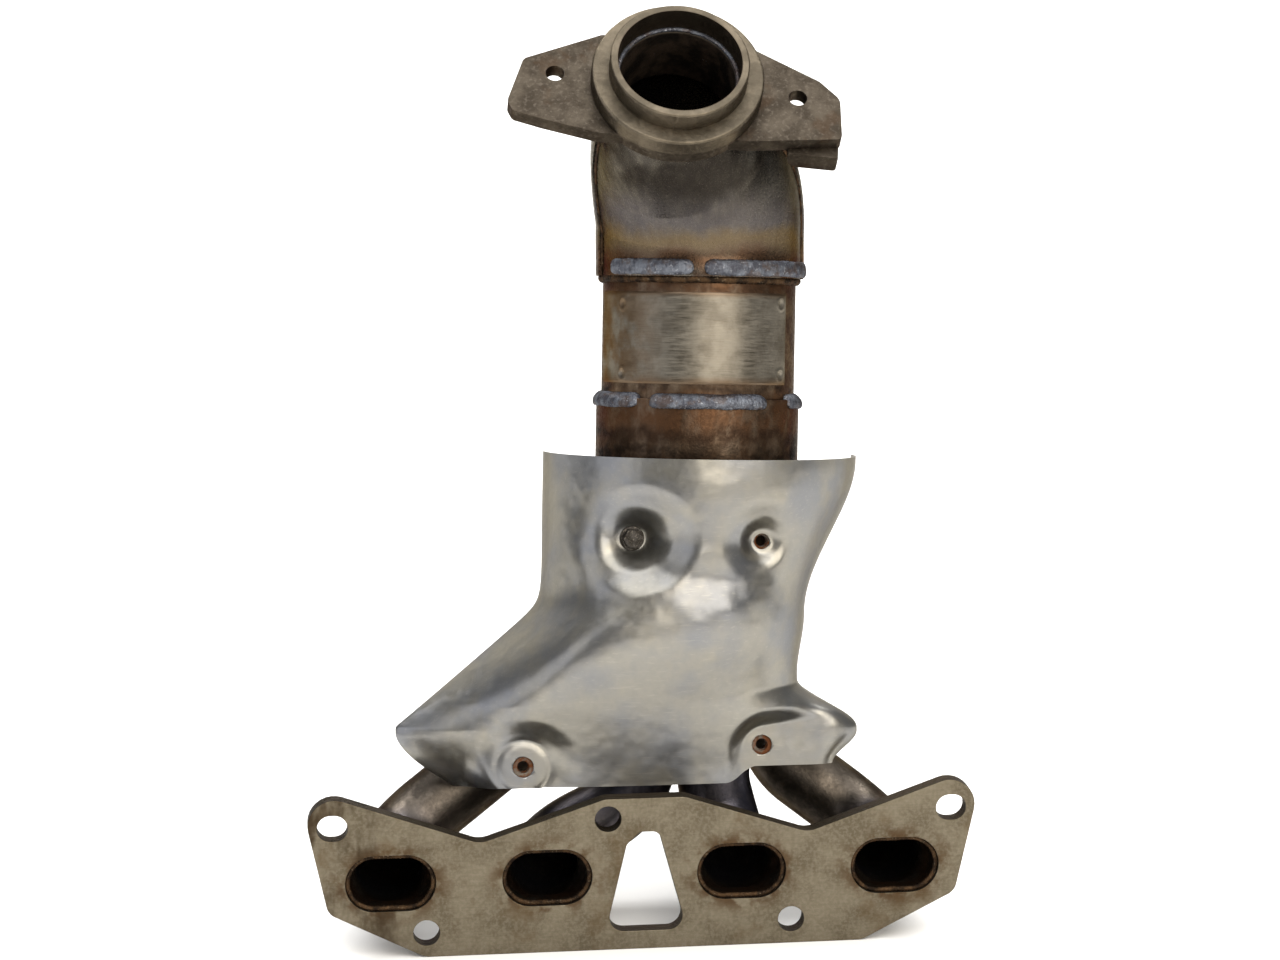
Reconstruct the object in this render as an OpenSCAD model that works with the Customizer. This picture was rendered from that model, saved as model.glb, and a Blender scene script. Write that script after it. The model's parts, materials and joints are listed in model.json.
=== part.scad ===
// Tubular exhaust manifold with a close-coupled catalytic converter, for a four-cylinder engine.
// Origin: midway between the two upper corner stud slots, on the gasket face.
// +X runs along the head flange, +Y points away from the cylinder head, +Z points at the outlet.

/* [Head flange] */
// Distance between the two upper corner stud slots
stud_span = 352.2; // [340:0.2:364]
// Thickness of the head flange
flange_t = 10; // [9:0.5:14]
// Distance between neighbouring ports at each end
port_pitch = 88.5; // [84:0.5:92]
// Distance between the two middle ports
port_gap = 111; // [106:0.5:116]
// Width of a port opening
port_w = 51; // [48:0.5:53]
// Height of a port opening
port_h = 33; // [30:0.5:36]
// Depth of the port centres below the upper studs
port_drop = 33.5; // [32:0.5:35]
// Width of the upper stud slots
slot_w = 15; // [12:0.2:17]
// Length of the upper stud slots
slot_l = 17.2; // [17.2:0.2:20]
// Diameter of the round stud holes
stud_hole_d = 15; // [11:0.2:17]
// Depth of the lower stud holes below the upper studs
lower_drop = 63.5; // [62:0.5:65]

/* [Runners] */
// Outside diameter of a runner tube
runner_od = 42.4; // [38:0.2:42.6]
// Wall of a runner tube
runner_wall = 2; // [1.5:0.1:3]
// Clearance of a tube in its hole, each side
tube_fit = 0.1; // [0.05:0.05:0.3]
// Radius of a weld bead on a runner
bead_r = 3.2; // [2:0.1:3.4]

/* [Converter] */
// Diameter of the ceramic monolith
brick_d = 101.6; // [95:0.1:103]
// Length of the ceramic monolith
brick_l = 82; // [60:1:86]
// Thickness of the support mat
mat_t = 4.2; // [3:0.1:5]
// Wall of the converter shell
shell_wall = 1.5; // [1:0.1:2]
// Wall of the inlet sleeve, the collector cup and the elbow shells
cup_wall = 2; // [1.5:0.1:2.2]
// Lean of the converter away from the engine, degrees
lean_back = 9; // [7:0.5:10]
// Lean of the converter along the flange, degrees
lean_side = 2; // [1:0.5:3]
// Height of the converter's reference plane above the upper studs
can_z = 220.4; // [215:0.5:240]

/* [Outlet] */
// Distance between the two outlet bolt holes
outlet_span = 136.4; // [128:0.2:142]
// Thickness of the outlet flange plate
outlet_t = 9; // [7:0.5:12]
// Diameter of the raised hub
hub_d = 96.4; // [90:0.2:100]
// Height of the raised hub
hub_h = 11; // [6:0.5:14]
// Outside diameter of the gasket spigot
spigot_d = 77.6; // [74:0.2:80]
// Height of the spigot above the hub
spigot_h = 12; // [8:0.5:16]
// Bore of the spigot
outlet_bore = 69.2; // [69.2:0.2:72]
// Diameter of the outlet bolt holes
outlet_hole_d = 10.5; // [8:0.1:13]

/* [Heat shield] */
// Thickness of the shield sheet
shield_t = 1.2; // [0.8:0.1:1.6]
// Distance of the left pressed cup's seat in front of the converter axis
cup_seat_left = 53.5; // [53.5:0.5:60]
// Distance of the right pressed cup's seat in front of the converter axis
cup_seat_right = 62.5; // [62.5:0.5:68]
// Thread diameter of the shield bolts
shield_thread = 6; // [5:1:6]

/* [Hidden] */
$fn = 96;
eps = 0.02;            // weld metal stands this far off the parts it joins

// ---- finishes
steel_plate = [0.52, 0.48, 0.41];
steel_tube = [0.38, 0.35, 0.32];
steel_can = [0.50, 0.40, 0.32];
steel_sheet = [0.66, 0.65, 0.62];
steel_elbow = [0.50, 0.48, 0.46];
weld_metal = [0.42, 0.44, 0.48];
ceramic_grey = [0.70, 0.66, 0.58];
mat_white = [0.85, 0.84, 0.80];
fastener_dark = [0.20, 0.19, 0.18];

// ---- small helpers
function unit(v) = v / norm(v);
function ramp(t, a, b) = let (k = min(1, max(0, (t - a) / (b - a)))) k * k * (3 - 2 * k);
function spow(t, p) = t < 0 ? -pow(-t, p) : pow(t, p);

// ---- head flange
port_x = [-port_gap / 2 - port_pitch, -port_gap / 2, port_gap / 2, port_gap / 2 + port_pitch];
centre_stud_x = -20.9;
lower_stud_x = [-124.2, 84.2];
ear_x = stud_span / 2 + 19.1;
ear_z = 24.5;
ear_r = 15;
valley = [93.5, -11.7];
crown = [22.8, 11.7];
side_corner = [179.3, -50.3];
base_corner = [125.1, -77.8];

// ---- converter frame: z along the can's axis, y towards the back, origin at the inlet bead
can_origin = [43.8, 112, can_z];
can_x = [cos(lean_side), 0, -sin(lean_side)];
can_y = [-sin(lean_back) * sin(lean_side), cos(lean_back), -sin(lean_back) * cos(lean_side)];
can_a = [cos(lean_back) * sin(lean_side), sin(lean_back), cos(lean_back) * cos(lean_side)];
function can_pt(p) = can_origin + p[0] * can_x + p[1] * can_y + p[2] * can_a;

brick_r = brick_d / 2;
shell_ri = brick_r + mat_t;
shell_r = shell_ri + shell_wall;
shell_lo = -22;
shell_hi = 84;
brick_lo = -10;
seal_l = 5;
sleeve_ri = shell_r + 0.9;
sleeve_r = sleeve_ri + cup_wall;
sleeve_lo = -44;
cup_r = sleeve_ri - eps;
cup_hi = -34;
cup_lo = -112;
cup_floor = 3;
tube_x = 23;
tube_y = 23;
tube_in = 4;

// ---- runner centre lines
runner_r = runner_od / 2;
port_bead_r = 1.7;      // weld inside a port, between tube end and flange
runner_bead_r = 1.95;   // weld round a tube behind the flange
flare_start = 3.5;
flare_mid = flange_t + 2;
flare_end = flange_t + 14;
entry = 28;
function target(sx, sy, up) = can_pt([sx * tube_x, sy * tube_y, cup_lo + up]);
function runner_path(n) =
  n == 1 ? [[port_x[0], flare_end, -port_drop], [port_x[0], 70, -port_drop],
            target(-1, 1, -entry), target(-1, 1, cup_floor + tube_in)] :
  n == 2 ? [[port_x[1], flare_end, -port_drop], [port_x[1], 55, -port_drop], [0, 58, -8],
            target(-1, -1, -entry), target(-1, -1, cup_floor + tube_in)] :
  n == 3 ? [[port_x[2], flare_end, -port_drop], [port_x[2], 55, -port_drop], [46, 60, 5],
            target(1, -1, -entry), target(1, -1, cup_floor + tube_in)] :
           [[port_x[3], flare_end, -port_drop], [port_x[3], 75, -port_drop], [95, 92, 2],
            target(1, 1, -entry), target(1, 1, cup_floor + tube_in)];
function runner_bends(n) =
  n == 1 ? [0, 40, 45, 0] : n == 2 ? [0, 32, 40, 60, 0] : n == 3 ? [0, 32, 45, 60, 0] : [0, 40, 45, 45, 0];

// ---- outlet frame: z along the outlet axis, x along the ears
outlet_origin = [24.55, 60, can_z + 186.8];
outlet_tilt = 47.5;
outlet_roll = -8;
function out_pt(p) =
  let (c = cos(outlet_roll), s = sin(outlet_roll), x = p[0] * c - p[1] * s, y = p[0] * s + p[1] * c)
  outlet_origin + [x, y * cos(outlet_tilt) - p[2] * sin(outlet_tilt), y * sin(outlet_tilt) + p[2] * cos(outlet_tilt)];
lip_x = 65;
lip_w = 28;
lip_t = 8;
lip_drop = 11;
ledge = 7.4;           // the neck tube ends this far above the ear face
neck_fit = 0.1;
neck_r = outlet_bore / 2 - neck_fit;
neck_wall = 2;
neck_lo = -32;

// ---- elbow centre line: straight, bend, straight, with a sideways shift spread over its length
elbow_s = 70;          // height of the elbow's lower edge on the can
elbow_start = can_pt([0, 0, elbow_s]);
elbow_straight = 10;
elbow_bend_r = 80;
elbow_turn = outlet_tilt + lean_back;
elbow_arc = elbow_bend_r * elbow_turn * PI / 180;
elbow_gap = 5;         // the shells stop this far below the outlet flange plate
function leg_dir(q) = [0, sin(lean_back - q), cos(lean_back - q)];
function arc_pt(q) = elbow_bend_r * [0, -cos(lean_back) + cos(lean_back - q), sin(lean_back) - sin(lean_back - q)];
arc_end = elbow_start + elbow_straight * leg_dir(0) + arc_pt(elbow_turn);
elbow_stop = out_pt([0, 0, -outlet_t - elbow_gap]);
elbow_leg = norm([0, elbow_stop[1] - arc_end[1], elbow_stop[2] - arc_end[2]]);
elbow_len = elbow_straight + elbow_arc + elbow_leg;
elbow_r = 61;
elbow_foot = shell_r + 2 * cup_wall + 0.1;
elbow_tip = neck_r + 2 * cup_wall + 0.1;
elbow_full = 45;       // the shells keep their full girth this far up
elbow_lean_from = 30;  // and start their sideways shift here
function elbow_yz(t) =
  t < elbow_straight ? elbow_start + t * leg_dir(0) :
  t < elbow_straight + elbow_arc ?
    elbow_start + elbow_straight * leg_dir(0) + arc_pt((t - elbow_straight) / elbow_bend_r * 180 / PI) :
    arc_end + (elbow_stop - arc_end) * (t - elbow_straight - elbow_arc) / elbow_leg;
function elbow_x(t) =
  let (x0 = elbow_start[0], x1 = x0 + can_a[0] * elbow_straight)
  t < elbow_straight ? x0 + can_a[0] * t : x1 + (elbow_stop[0] - x1) * ramp(t, elbow_lean_from, elbow_len);
function elbow_pt(t) = let (p = elbow_yz(t)) [elbow_x(t), p[1], p[2]];
function elbow_tan(t) = let (a = max(0, t - 0.5), b = min(elbow_len, t + 0.5)) unit(elbow_pt(b) - elbow_pt(a));
function elbow_girth(t) =
  t < 5 ? elbow_foot + (elbow_r - elbow_foot) * sqrt(1 - pow(1 - t / 5, 2)) :
  t < elbow_full ? elbow_r :
  elbow_tip + (elbow_r - elbow_tip) * sin(90 * (elbow_len - t) / (elbow_len - elbow_full));
// point on the elbow: t along the line, q around it (0 right, 90 rear, 180 left, 270 front), in by d
function elbow_skin(t, q, d) =
  let (g = elbow_tan(t), ex = unit([1, 0, 0] - g[0] * g), ey = cross(g, ex), r = elbow_girth(t) - d)
  elbow_pt(t) + r * (cos(q) * ex + sin(q) * ey);
lap_out = 8;           // the rear shell laps forward of the seam plane by this angle
lap_in = 4;            // the front shell reaches back of it by this angle
seam_w = 4;            // angle covered by a seam weld

// ---- heat shield, in the converter frame
shield_top = -33;
shield_drop_left = 192;
shield_drop_right = 186;
function shield_left(s) =
  let (w = -122 - s, line = -88.4 - 1.21 * 0.5 * (w + sqrt(w * w + 64)),
       foot = -174 + 30 * pow(max(0, -s - 196) / 27, 1.6))
  max(line, foot);
function shield_right(s) =
  93.5 - 31 * ramp(s, -35, -125) - 4 * ramp(s, -125, -165) + 33 * ramp(s, -167, -196) - 15 * ramp(s, -198, -219);
function shield_front(s) = -84 + 4 * ramp(s, -45, -85) - 2 * ramp(s, -98, -122) + 34 * ramp(s, -125, -222);
function shield_edge_left(s) = 8 - 13 * ramp(s, -60, -130) - 16 * ramp(s, -130, -200);
function shield_edge_right(s) = 8 - 13 * ramp(s, -60, -130) - 18 * ramp(s, -150, -200);
// share of a press: 1 at its middle, 0 beyond its oval; a cup is a shallow dish with a deeper well in it
function oval(x, s, c, rx, rs) = norm([(x - c[0]) / rx, (s - c[2]) / rs]);
function dish(x, s, c, rx, rs, core) = 1 - ramp(oval(x, s, c, rx, rs), core, 1);
function cup(x, s, c, rx, rs, core) =
  let (r = oval(x, s, c, rx, rs)) 0.35 * (1 - ramp(r, 0.45, 1)) + 0.65 * (1 - ramp(r, core, 0.62));
// the four fixings of the shield, in the converter frame: two cups, the lower left pad and the lower right tab
cup_left = [-43.7, -cup_seat_left, -79.5];
cup_right = [29.8, -cup_seat_right, -80];
pad_left = [-103, -45, -212];
tab_right = [35, -44, -199];
// the flat tab is a tongue: round beside its hole, its upper edge rising to the right
function tongue(a, b) = 1 - ramp(norm([min(0, a), max(0, b - 0.14 * a)]), 10.5, 23);
// the fold between the front panel and the left wing
function shield_fold(s) = max(-104, -62 + 0.67 * (s + 115));
// a straight rise from 0 that turns smoothly level at 1
function soft(r) = 0.5 * (r + sqrt(1.15) - sqrt(pow(1 - r, 2) + 0.15));
function shield_raw(u, v) =
  let (
    q = 180 * u,
    sl = shield_top - shield_drop_left * v, sr = shield_top - shield_drop_right * v,
    xl = shield_left(sl), xr = shield_right(sr),
    n = u < 0.5 ? 2 : 2.1 + 0.7 * ramp(v, 0.35, 1),
    cx = -spow(cos(q), 2 / n), round_y = spow(sin(q), 2 / n),
    fold = 2 * (shield_fold(sl) - xl) / (xr - xl),
    slope = 0.8 * ramp(sl, -95, -150),
    sy = u < 0.5 ? round_y * (1 - slope) + slope * soft((1 + cx) / fold) / soft(1 / fold) : round_y,
    x = (xl + xr) / 2 + (xr - xl) / 2 * cx,
    k = (cx + 1) / 2,
    s = sl + (sr - sl) * k + 9 * ramp(x, 14, 32) * pow(v, 3),
    ye = shield_edge_left(sl) + (shield_edge_right(sr) - shield_edge_left(sl)) * k,
    y = ye + (shield_front(s) - ye) * sy,
    w1 = cup(x, s, cup_left, 38, 33, 0.2),
    w2 = cup(x, s, cup_right, 27, 26, 0.22),
    w3 = dish(x, s, pad_left, 34, 30, 0.42),
    w4 = tongue(x - tab_right[0], s - tab_right[2]) * (1 - 0.6 * ramp(x, 62, 90)),
    dent = 1.8 * dish(x, s, [2, 0, -101], 46, 17, 0)
  )
  [x, y + dent * (1 - w1) * (1 - w2) + (cup_left[1] - y) * w1 + (cup_right[1] - y) * w2
      + (pad_left[1] - y) * w3 + (tab_right[1] - y) * w4, s];
function shield_pt(u, v, d) =
  let (
    h = 0.004,
    a = shield_raw(min(1, u + h), v) - shield_raw(max(0, u - h), v),
    b = shield_raw(u, min(1, v + h)) - shield_raw(u, max(0, v - h)),
    nrm = unit(cross(a, b))
  )
  shield_raw(u, v) - d * nrm;

// ================= shapes =================

// plate outline with a fillet at every vertex; points run anticlockwise
module rounded(pts, rads) {
  n = len(pts);
  steps = 10;
  polygon([for (i = [0:n - 1]) each (let (
    p = pts[i],
    u1 = unit(pts[(i + n - 1) % n] - p),
    u2 = unit(pts[(i + 1) % n] - p),
    half = acos(u1 * u2) / 2,
    c = p + unit(u1 + u2) * rads[i] / sin(half),
    a = p + u1 * rads[i] / tan(half) - c,
    turn = u2[0] * u1[1] - u2[1] * u1[0] > 0 ? 180 - 2 * half : 2 * half - 180
  ) [for (k = [0:steps]) let (q = turn * k / steps) c + [a[0] * cos(q) - a[1] * sin(q), a[0] * sin(q) + a[1] * cos(q)]])]);
}

module obround(w, h) {
  square([w - h, h], center = true);
  for (k = [-1, 1]) translate([k * (w - h) / 2, 0]) circle(h / 2);
}

// stands a shape drawn in x and y up against the gasket face, its height running along +Y
module along_y() { rotate([-90, 0, 0]) children(); }
module at_port(n, y) { translate([port_x[n - 1], y, -port_drop]) along_y() children(); }
module in_can() { translate(can_origin) rotate([-lean_back, lean_side, 0]) children(); }
module in_outlet() { translate(outlet_origin) rotate([outlet_tilt, 0, 0]) rotate(outlet_roll) children(); }

// stands its children at p with their z axis towards q
module aimed(p, q) {
  z = unit(q - p);
  x = unit(cross(abs(z[0]) < 0.9 ? [1, 0, 0] : [0, 1, 0], z));
  y = cross(z, x);
  multmatrix([[x[0], y[0], z[0], p[0]], [x[1], y[1], z[1], p[1]], [x[2], y[2], z[2], p[2]], [0, 0, 0, 1]])
    children();
}

module pipe(p, q, ro, ri) {
  h = norm(q - p);
  aimed(p, q) difference() {
    cylinder(h = h, r = ro);
    translate([0, 0, -1]) cylinder(h = h + 2, r = ri);
  }
}

module bent_pipe(start, from, to, r, ro, ri) {
  n = unit(cross(from, to));
  e = cross(from, n);
  c = start - r * e;
  q = acos(from * to);
  multmatrix([[e[0], from[0], n[0], c[0]], [e[1], from[1], n[1], c[1]], [e[2], from[2], n[2], c[2]], [0, 0, 0, 1]])
    rotate_extrude(angle = q)
      translate([r, 0]) difference() { circle(ro); circle(ri); }
}

// a tube along a centre line: the bends are a hair thicker than the straights, which run into them
module tube_run(path, bends, ro, ri) {
  n = len(path);
  swell = 0.05;
  bite = 0.4;
  dir = [for (i = [0:n - 2]) unit(path[i + 1] - path[i])];
  cut = [for (i = [0:n - 1]) i == 0 || i == n - 1 ? 0 : bends[i] * tan(acos(dir[i - 1] * dir[i]) / 2)];
  run_in = [for (i = [0:n - 1]) i == n - 1 ? 0 : bite];
  for (i = [0:n - 2])
    pipe(path[i] + (cut[i] - bite) * dir[i], path[i + 1] - (cut[i + 1] - run_in[i + 1]) * dir[i], ro, ri);
  for (i = [1:n - 2])
    bent_pipe(path[i] - cut[i] * dir[i - 1], dir[i - 1], dir[i], bends[i], ro + swell, ri - swell);
}

// a closed sheet between two grids of (nu + 1) by (nv + 1) points, listed row by row
module sheet(top, bottom, nu, nv) {
  m = nu + 1;
  off = m * (nv + 1);
  function at(i, j) = j * m + i;
  polyhedron(
    points = concat(top, bottom),
    faces = concat(
      [for (j = [0:nv - 1]) for (i = [0:nu - 1]) each [
        [at(i, j), at(i + 1, j), at(i + 1, j + 1)], [at(i, j), at(i + 1, j + 1), at(i, j + 1)],
        [off + at(i + 1, j + 1), off + at(i + 1, j), off + at(i, j)],
        [off + at(i, j + 1), off + at(i + 1, j + 1), off + at(i, j)]]],
      [for (i = [0:nu - 1]) each [
        [at(i + 1, 0), at(i, 0), off + at(i, 0)], [at(i + 1, 0), off + at(i, 0), off + at(i + 1, 0)],
        [at(i, nv), at(i + 1, nv), off + at(i + 1, nv)], [at(i, nv), off + at(i + 1, nv), off + at(i, nv)]]],
      [for (j = [0:nv - 1]) each [
        [at(0, j), at(0, j + 1), off + at(0, j + 1)], [at(0, j), off + at(0, j + 1), off + at(0, j)],
        [at(nu, j + 1), at(nu, j), off + at(nu, j)], [at(nu, j + 1), off + at(nu, j), off + at(nu, j + 1)]]]
    ));
}

module elbow_strip(q0, q1, d0, d1, nq) {
  nt = 22;
  function t_at(j) = j < 4 ? 5 * j / 4 : 5 + (elbow_len - 5) * (j - 4) / (nt - 4);
  sheet([for (j = [0:nt]) for (i = [0:nq]) elbow_skin(t_at(j), q0 + (q1 - q0) * i / nq, d0)],
        [for (j = [0:nt]) for (i = [0:nq]) elbow_skin(t_at(j), q0 + (q1 - q0) * i / nq, d1)], nq, nt);
}

// ring bead on the can: section given in radius and height, between two angles from the front
module can_arc(q0, q1) {
  in_can() rotate(q0 - 90) rotate_extrude(angle = q1 - q0) children();
}

// ================= head flange and runners =================

module head_flange() {
  top = [[-crown[0], crown[1]], [-valley[0], valley[1]], [-ear_x, ear_z]];
  low = [[-side_corner[0], side_corner[1]], [-base_corner[0], base_corner[1]]];
  half = concat(top, low);
  pts = concat(half, [for (i = [4:-1:0]) [-half[i][0], half[i][1]]]);
  rads = [12, 14, ear_r, 9, 14, 14, 9, ear_r, 14, 12];
  color(steel_plate)
  rotate([90, 0, 0]) translate([0, 0, -flange_t]) difference() {
    linear_extrude(flange_t) rounded(pts, rads);
    for (x = port_x) translate([x, -port_drop, -1]) linear_extrude(flange_t + 2) obround(port_w, port_h);
    for (k = [-1, 1]) translate([k * stud_span / 2, 0, -1]) linear_extrude(flange_t + 2) obround(slot_l, slot_w);
    translate([centre_stud_x, 0, -1]) cylinder(h = flange_t + 2, d = stud_hole_d);
    for (x = lower_stud_x) translate([x, -lower_drop, -1]) cylinder(h = flange_t + 2, d = stud_hole_d);
    translate([0, 0, -1]) linear_extrude(flange_t + 2)
      rounded([[-22.4, -67], [24.2, -67], [8, -8.2], [-2.8, -8.2], [-10.3, -15.5]], [8.5, 8.5, 5, 3, 4]);
  }
}

module runner(n) {
  w = port_w - 2 * tube_fit;
  h = port_h - 2 * tube_fit;
  wi = w - 2 * runner_wall;
  hi = h - 2 * runner_wall;
  skin = 0.5;
  step = 0.1;            // the flared length is this much thinner on each side than the tube it joins
  color(steel_tube) {
    at_port(n, flare_start) linear_extrude(flare_mid - flare_start) difference() {
      obround(w, h);
      obround(wi, hi);
    }
    at_port(n, flare_mid) difference() {
      hull($fn = 32) {
        linear_extrude(skin) obround(w - 2 * step, h - 2 * step, $fn = 32);
        translate([0, 0, flare_end - flare_mid - skin]) cylinder(h = skin, r = runner_r - step, $fn = 32);
      }
      hull($fn = 32) {
        translate([0, 0, -skin]) linear_extrude(skin) obround(wi + 4 * step, hi + 4 * step, $fn = 32);
        translate([0, 0, flare_end - flare_mid]) cylinder(h = skin, r = runner_r - runner_wall + 2 * step, $fn = 32);
      }
    }
    tube_run(runner_path(n), runner_bends(n), runner_r, runner_r - runner_wall);
  }
}

module oval_bead(w, h, r) {
  for (k = [-1, 1]) translate([k * (w - h) / 2, 0, 0]) rotate(k * -90) rotate_extrude(angle = 180)
    translate([h / 2, 0]) circle(r);
  for (k = [-1, 1]) translate([0, k * h / 2, 0]) rotate([0, 90, 0]) cylinder(h = w - h, r = r, center = true);
}

module port_weld(n) {
  w = port_w - 2 * tube_fit - runner_wall;
  h = port_h - 2 * tube_fit - runner_wall;
  color(weld_metal) at_port(n, 0) intersection() {
    translate([0, 0, flare_start - eps]) oval_bead(w, h, port_bead_r);
    linear_extrude(flare_start - eps) obround(port_w - 2 * eps, port_h - 2 * eps);
  }
}

module runner_weld(n) {
  w = port_w - 2 * tube_fit;
  h = port_h - 2 * tube_fit;
  color(weld_metal) at_port(n, flange_t + eps) difference() {
    intersection() {
      oval_bead(w, h, runner_bead_r);
      linear_extrude(2) obround(w + 20, h + 20);
    }
    translate([0, 0, -1]) linear_extrude(5) obround(w + 2 * eps, h + 2 * eps);
  }
}

module runner_1() { runner(1); }
module runner_2() { runner(2); }
module runner_3() { runner(3); }
module runner_4() { runner(4); }
module port_weld_1() { port_weld(1); }
module port_weld_2() { port_weld(2); }
module port_weld_3() { port_weld(3); }
module port_weld_4() { port_weld(4); }
module runner_weld_1() { runner_weld(1); }
module runner_weld_2() { runner_weld(2); }
module runner_weld_3() { runner_weld(3); }
module runner_weld_4() { runner_weld(4); }

// ================= collector and converter =================

module tube_places() {
  for (i = [-1, 1]) for (j = [-1, 1]) translate([i * tube_x, j * tube_y, 0]) children();
}

sensor_lo = -72;       // height of the upstream sensor boss on the collector cup
sensor_q = 125;        // its angle from the front, round to the back right
boss_r = 13;
boss_hole_r = 8.2;
boss_h = 14;
module at_upstream_boss() {
  in_can() translate([0, 0, sensor_lo]) rotate(sensor_q - 90) translate([cup_r, 0, 0]) rotate([0, 90, 0]) children();
}

module collector() {
  color(steel_can) difference() {
    in_can() difference() {
      translate([0, 0, cup_lo]) cylinder(h = cup_hi - cup_lo, r = cup_r);
      translate([0, 0, cup_lo + cup_floor]) cylinder(h = cup_hi - cup_lo, r = cup_r - cup_wall);
      translate([0, 0, cup_lo - 1]) tube_places() cylinder(h = cup_floor + 2, r = runner_r + tube_fit);
    }
    at_upstream_boss() translate([0, 0, -10]) cylinder(h = 20, r = boss_hole_r + 1);
  }
}

module collector_weld() {
  color(weld_metal) in_can() difference() {
    translate([0, 0, cup_lo - eps]) tube_places() rotate_extrude() translate([runner_r, 0]) circle(bead_r);
    translate([0, 0, cup_lo - 20]) tube_places() cylinder(h = 40, r = runner_r + eps);
    translate([0, 0, cup_lo - eps]) cylinder(h = 20, r = 80);
  }
}

module inlet_sleeve() {
  color(steel_can) in_can() rotate_extrude()
    difference() {
      translate([sleeve_ri, sleeve_lo]) square([cup_wall, -sleeve_lo]);
      translate([sleeve_r - 0.8, -0.8]) difference() { square(2); circle(0.8); }
    }
}

module inlet_sleeve_weld() {
  color(weld_metal) in_can() rotate_extrude()
    difference() {
      translate([cup_r + 0.4, sleeve_lo - 0.2]) circle(2.6);
      translate([0, sleeve_lo - eps]) square([90, 10]);
      translate([0, sleeve_lo - 10]) square([cup_r + eps, 20]);
    }
}

module converter_shell() {
  color(steel_can) in_can() rotate_extrude() translate([shell_ri, shell_lo]) square([shell_wall, shell_hi - shell_lo]);
}

module support_mat() {
  color(mat_white) in_can() rotate_extrude()
    translate([brick_r + eps, brick_lo]) square([mat_t - 2 * eps, brick_l]);
}

module monolith() {
  color(ceramic_grey) in_can() translate([0, 0, brick_lo]) cylinder(h = brick_l, r = brick_r);
}

module mat_seal(z) {
  color(steel_tube) in_can() rotate_extrude() translate([brick_r + eps, z]) square([mat_t - 2 * eps, seal_l]);
}
module mat_seal_inlet() { mat_seal(brick_lo - seal_l - eps); }
module mat_seal_outlet() { mat_seal(brick_lo + brick_l + eps); }

plate_lo = 8.5;
plate_hi = 61;
plate_t = 0.8;
module data_plate() {
  color(steel_sheet) can_arc(-84, 54) translate([shell_r + eps, plate_lo]) square([plate_t, plate_hi - plate_lo]);
}

// fillet bead between the top of the sleeve and the can
module inlet_bead(q0, q1) {
  color(weld_metal) can_arc(q0, q1)
    difference() {
      translate([sleeve_ri - 0.2, -2.2]) circle(4.6);
      translate([0, -20]) square([shell_r + eps, 40]);
      translate([sleeve_r + eps, -20]) square([20, 9.6]);
      translate([0, -20]) square([sleeve_r + eps, 20 + eps]);
    }
}
module inlet_bead_left() { inlet_bead(-150, -43); }
module inlet_bead_front() { inlet_bead(-36, 35); }
module inlet_bead_right() { inlet_bead(53, 112); }
module inlet_bead_rear() { inlet_bead(122, 200); }

// ================= elbow =================

module elbow_front() { color(steel_elbow) elbow_strip(180 - lap_in, 360 + lap_in, cup_wall + 0.05, 2 * cup_wall, 24); }
module elbow_rear() { color(steel_elbow) elbow_strip(-lap_out, 180 + lap_out, 0, cup_wall, 24); }

// weld in the step of a lap: full against the rear shell's edge, thin where it runs out on the front shell
seam_full = 0.5;
seam_thin = cup_wall - 0.3;
module seam(q0, q1, d0, d1) {
  nt = 22;
  function t_at(j) = 6 + (elbow_len - 12) * j / nt;
  color(weld_metal)
  sheet([for (j = [0:nt]) each [elbow_skin(t_at(j), q0, d0), elbow_skin(t_at(j), q1, d1)]],
        [for (j = [0:nt]) each [elbow_skin(t_at(j), q0, cup_wall + 0.03), elbow_skin(t_at(j), q1, cup_wall + 0.03)]],
        1, nt);
}
module elbow_seam_left() { seam(180 + lap_out + 0.05, 180 + lap_out + seam_w, seam_full, seam_thin); }
module elbow_seam_right() { seam(360 - lap_out - seam_w, 360 - lap_out - 0.05, seam_thin, seam_full); }

module elbow_root_weld() {
  color(weld_metal) in_can() rotate_extrude()
    polygon([[shell_r + eps, elbow_s - 5.2], [shell_r + 1.6, elbow_s - 3.6], [elbow_foot - 0.4, elbow_s - 0.6],
             [elbow_foot - 0.4, elbow_s - eps], [shell_r + eps, elbow_s - eps]]);
}

module outlet_bead(q0, q1) {
  color(weld_metal) can_arc(q0, q1)
    intersection() {
      translate([elbow_r - 3.1, elbow_s + 5.4]) circle(5);
      translate([elbow_r + eps, 0]) square([20, 100]);
    }
}
module outlet_bead_left() { outlet_bead(-64, -11); }
module outlet_bead_right() { outlet_bead(-5, 78); }
module outlet_bead_rear_right() { outlet_bead(105, 165); }
module outlet_bead_rear_left() { outlet_bead(190, 250); }

// ================= outlet =================

module outlet_neck() {
  color(steel_tube) in_outlet() translate([0, 0, neck_lo]) difference() {
    cylinder(h = ledge - neck_lo, r = neck_r);
    translate([0, 0, -1]) cylinder(h = ledge - neck_lo + 2, r = neck_r - neck_wall);
  }
}

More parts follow.
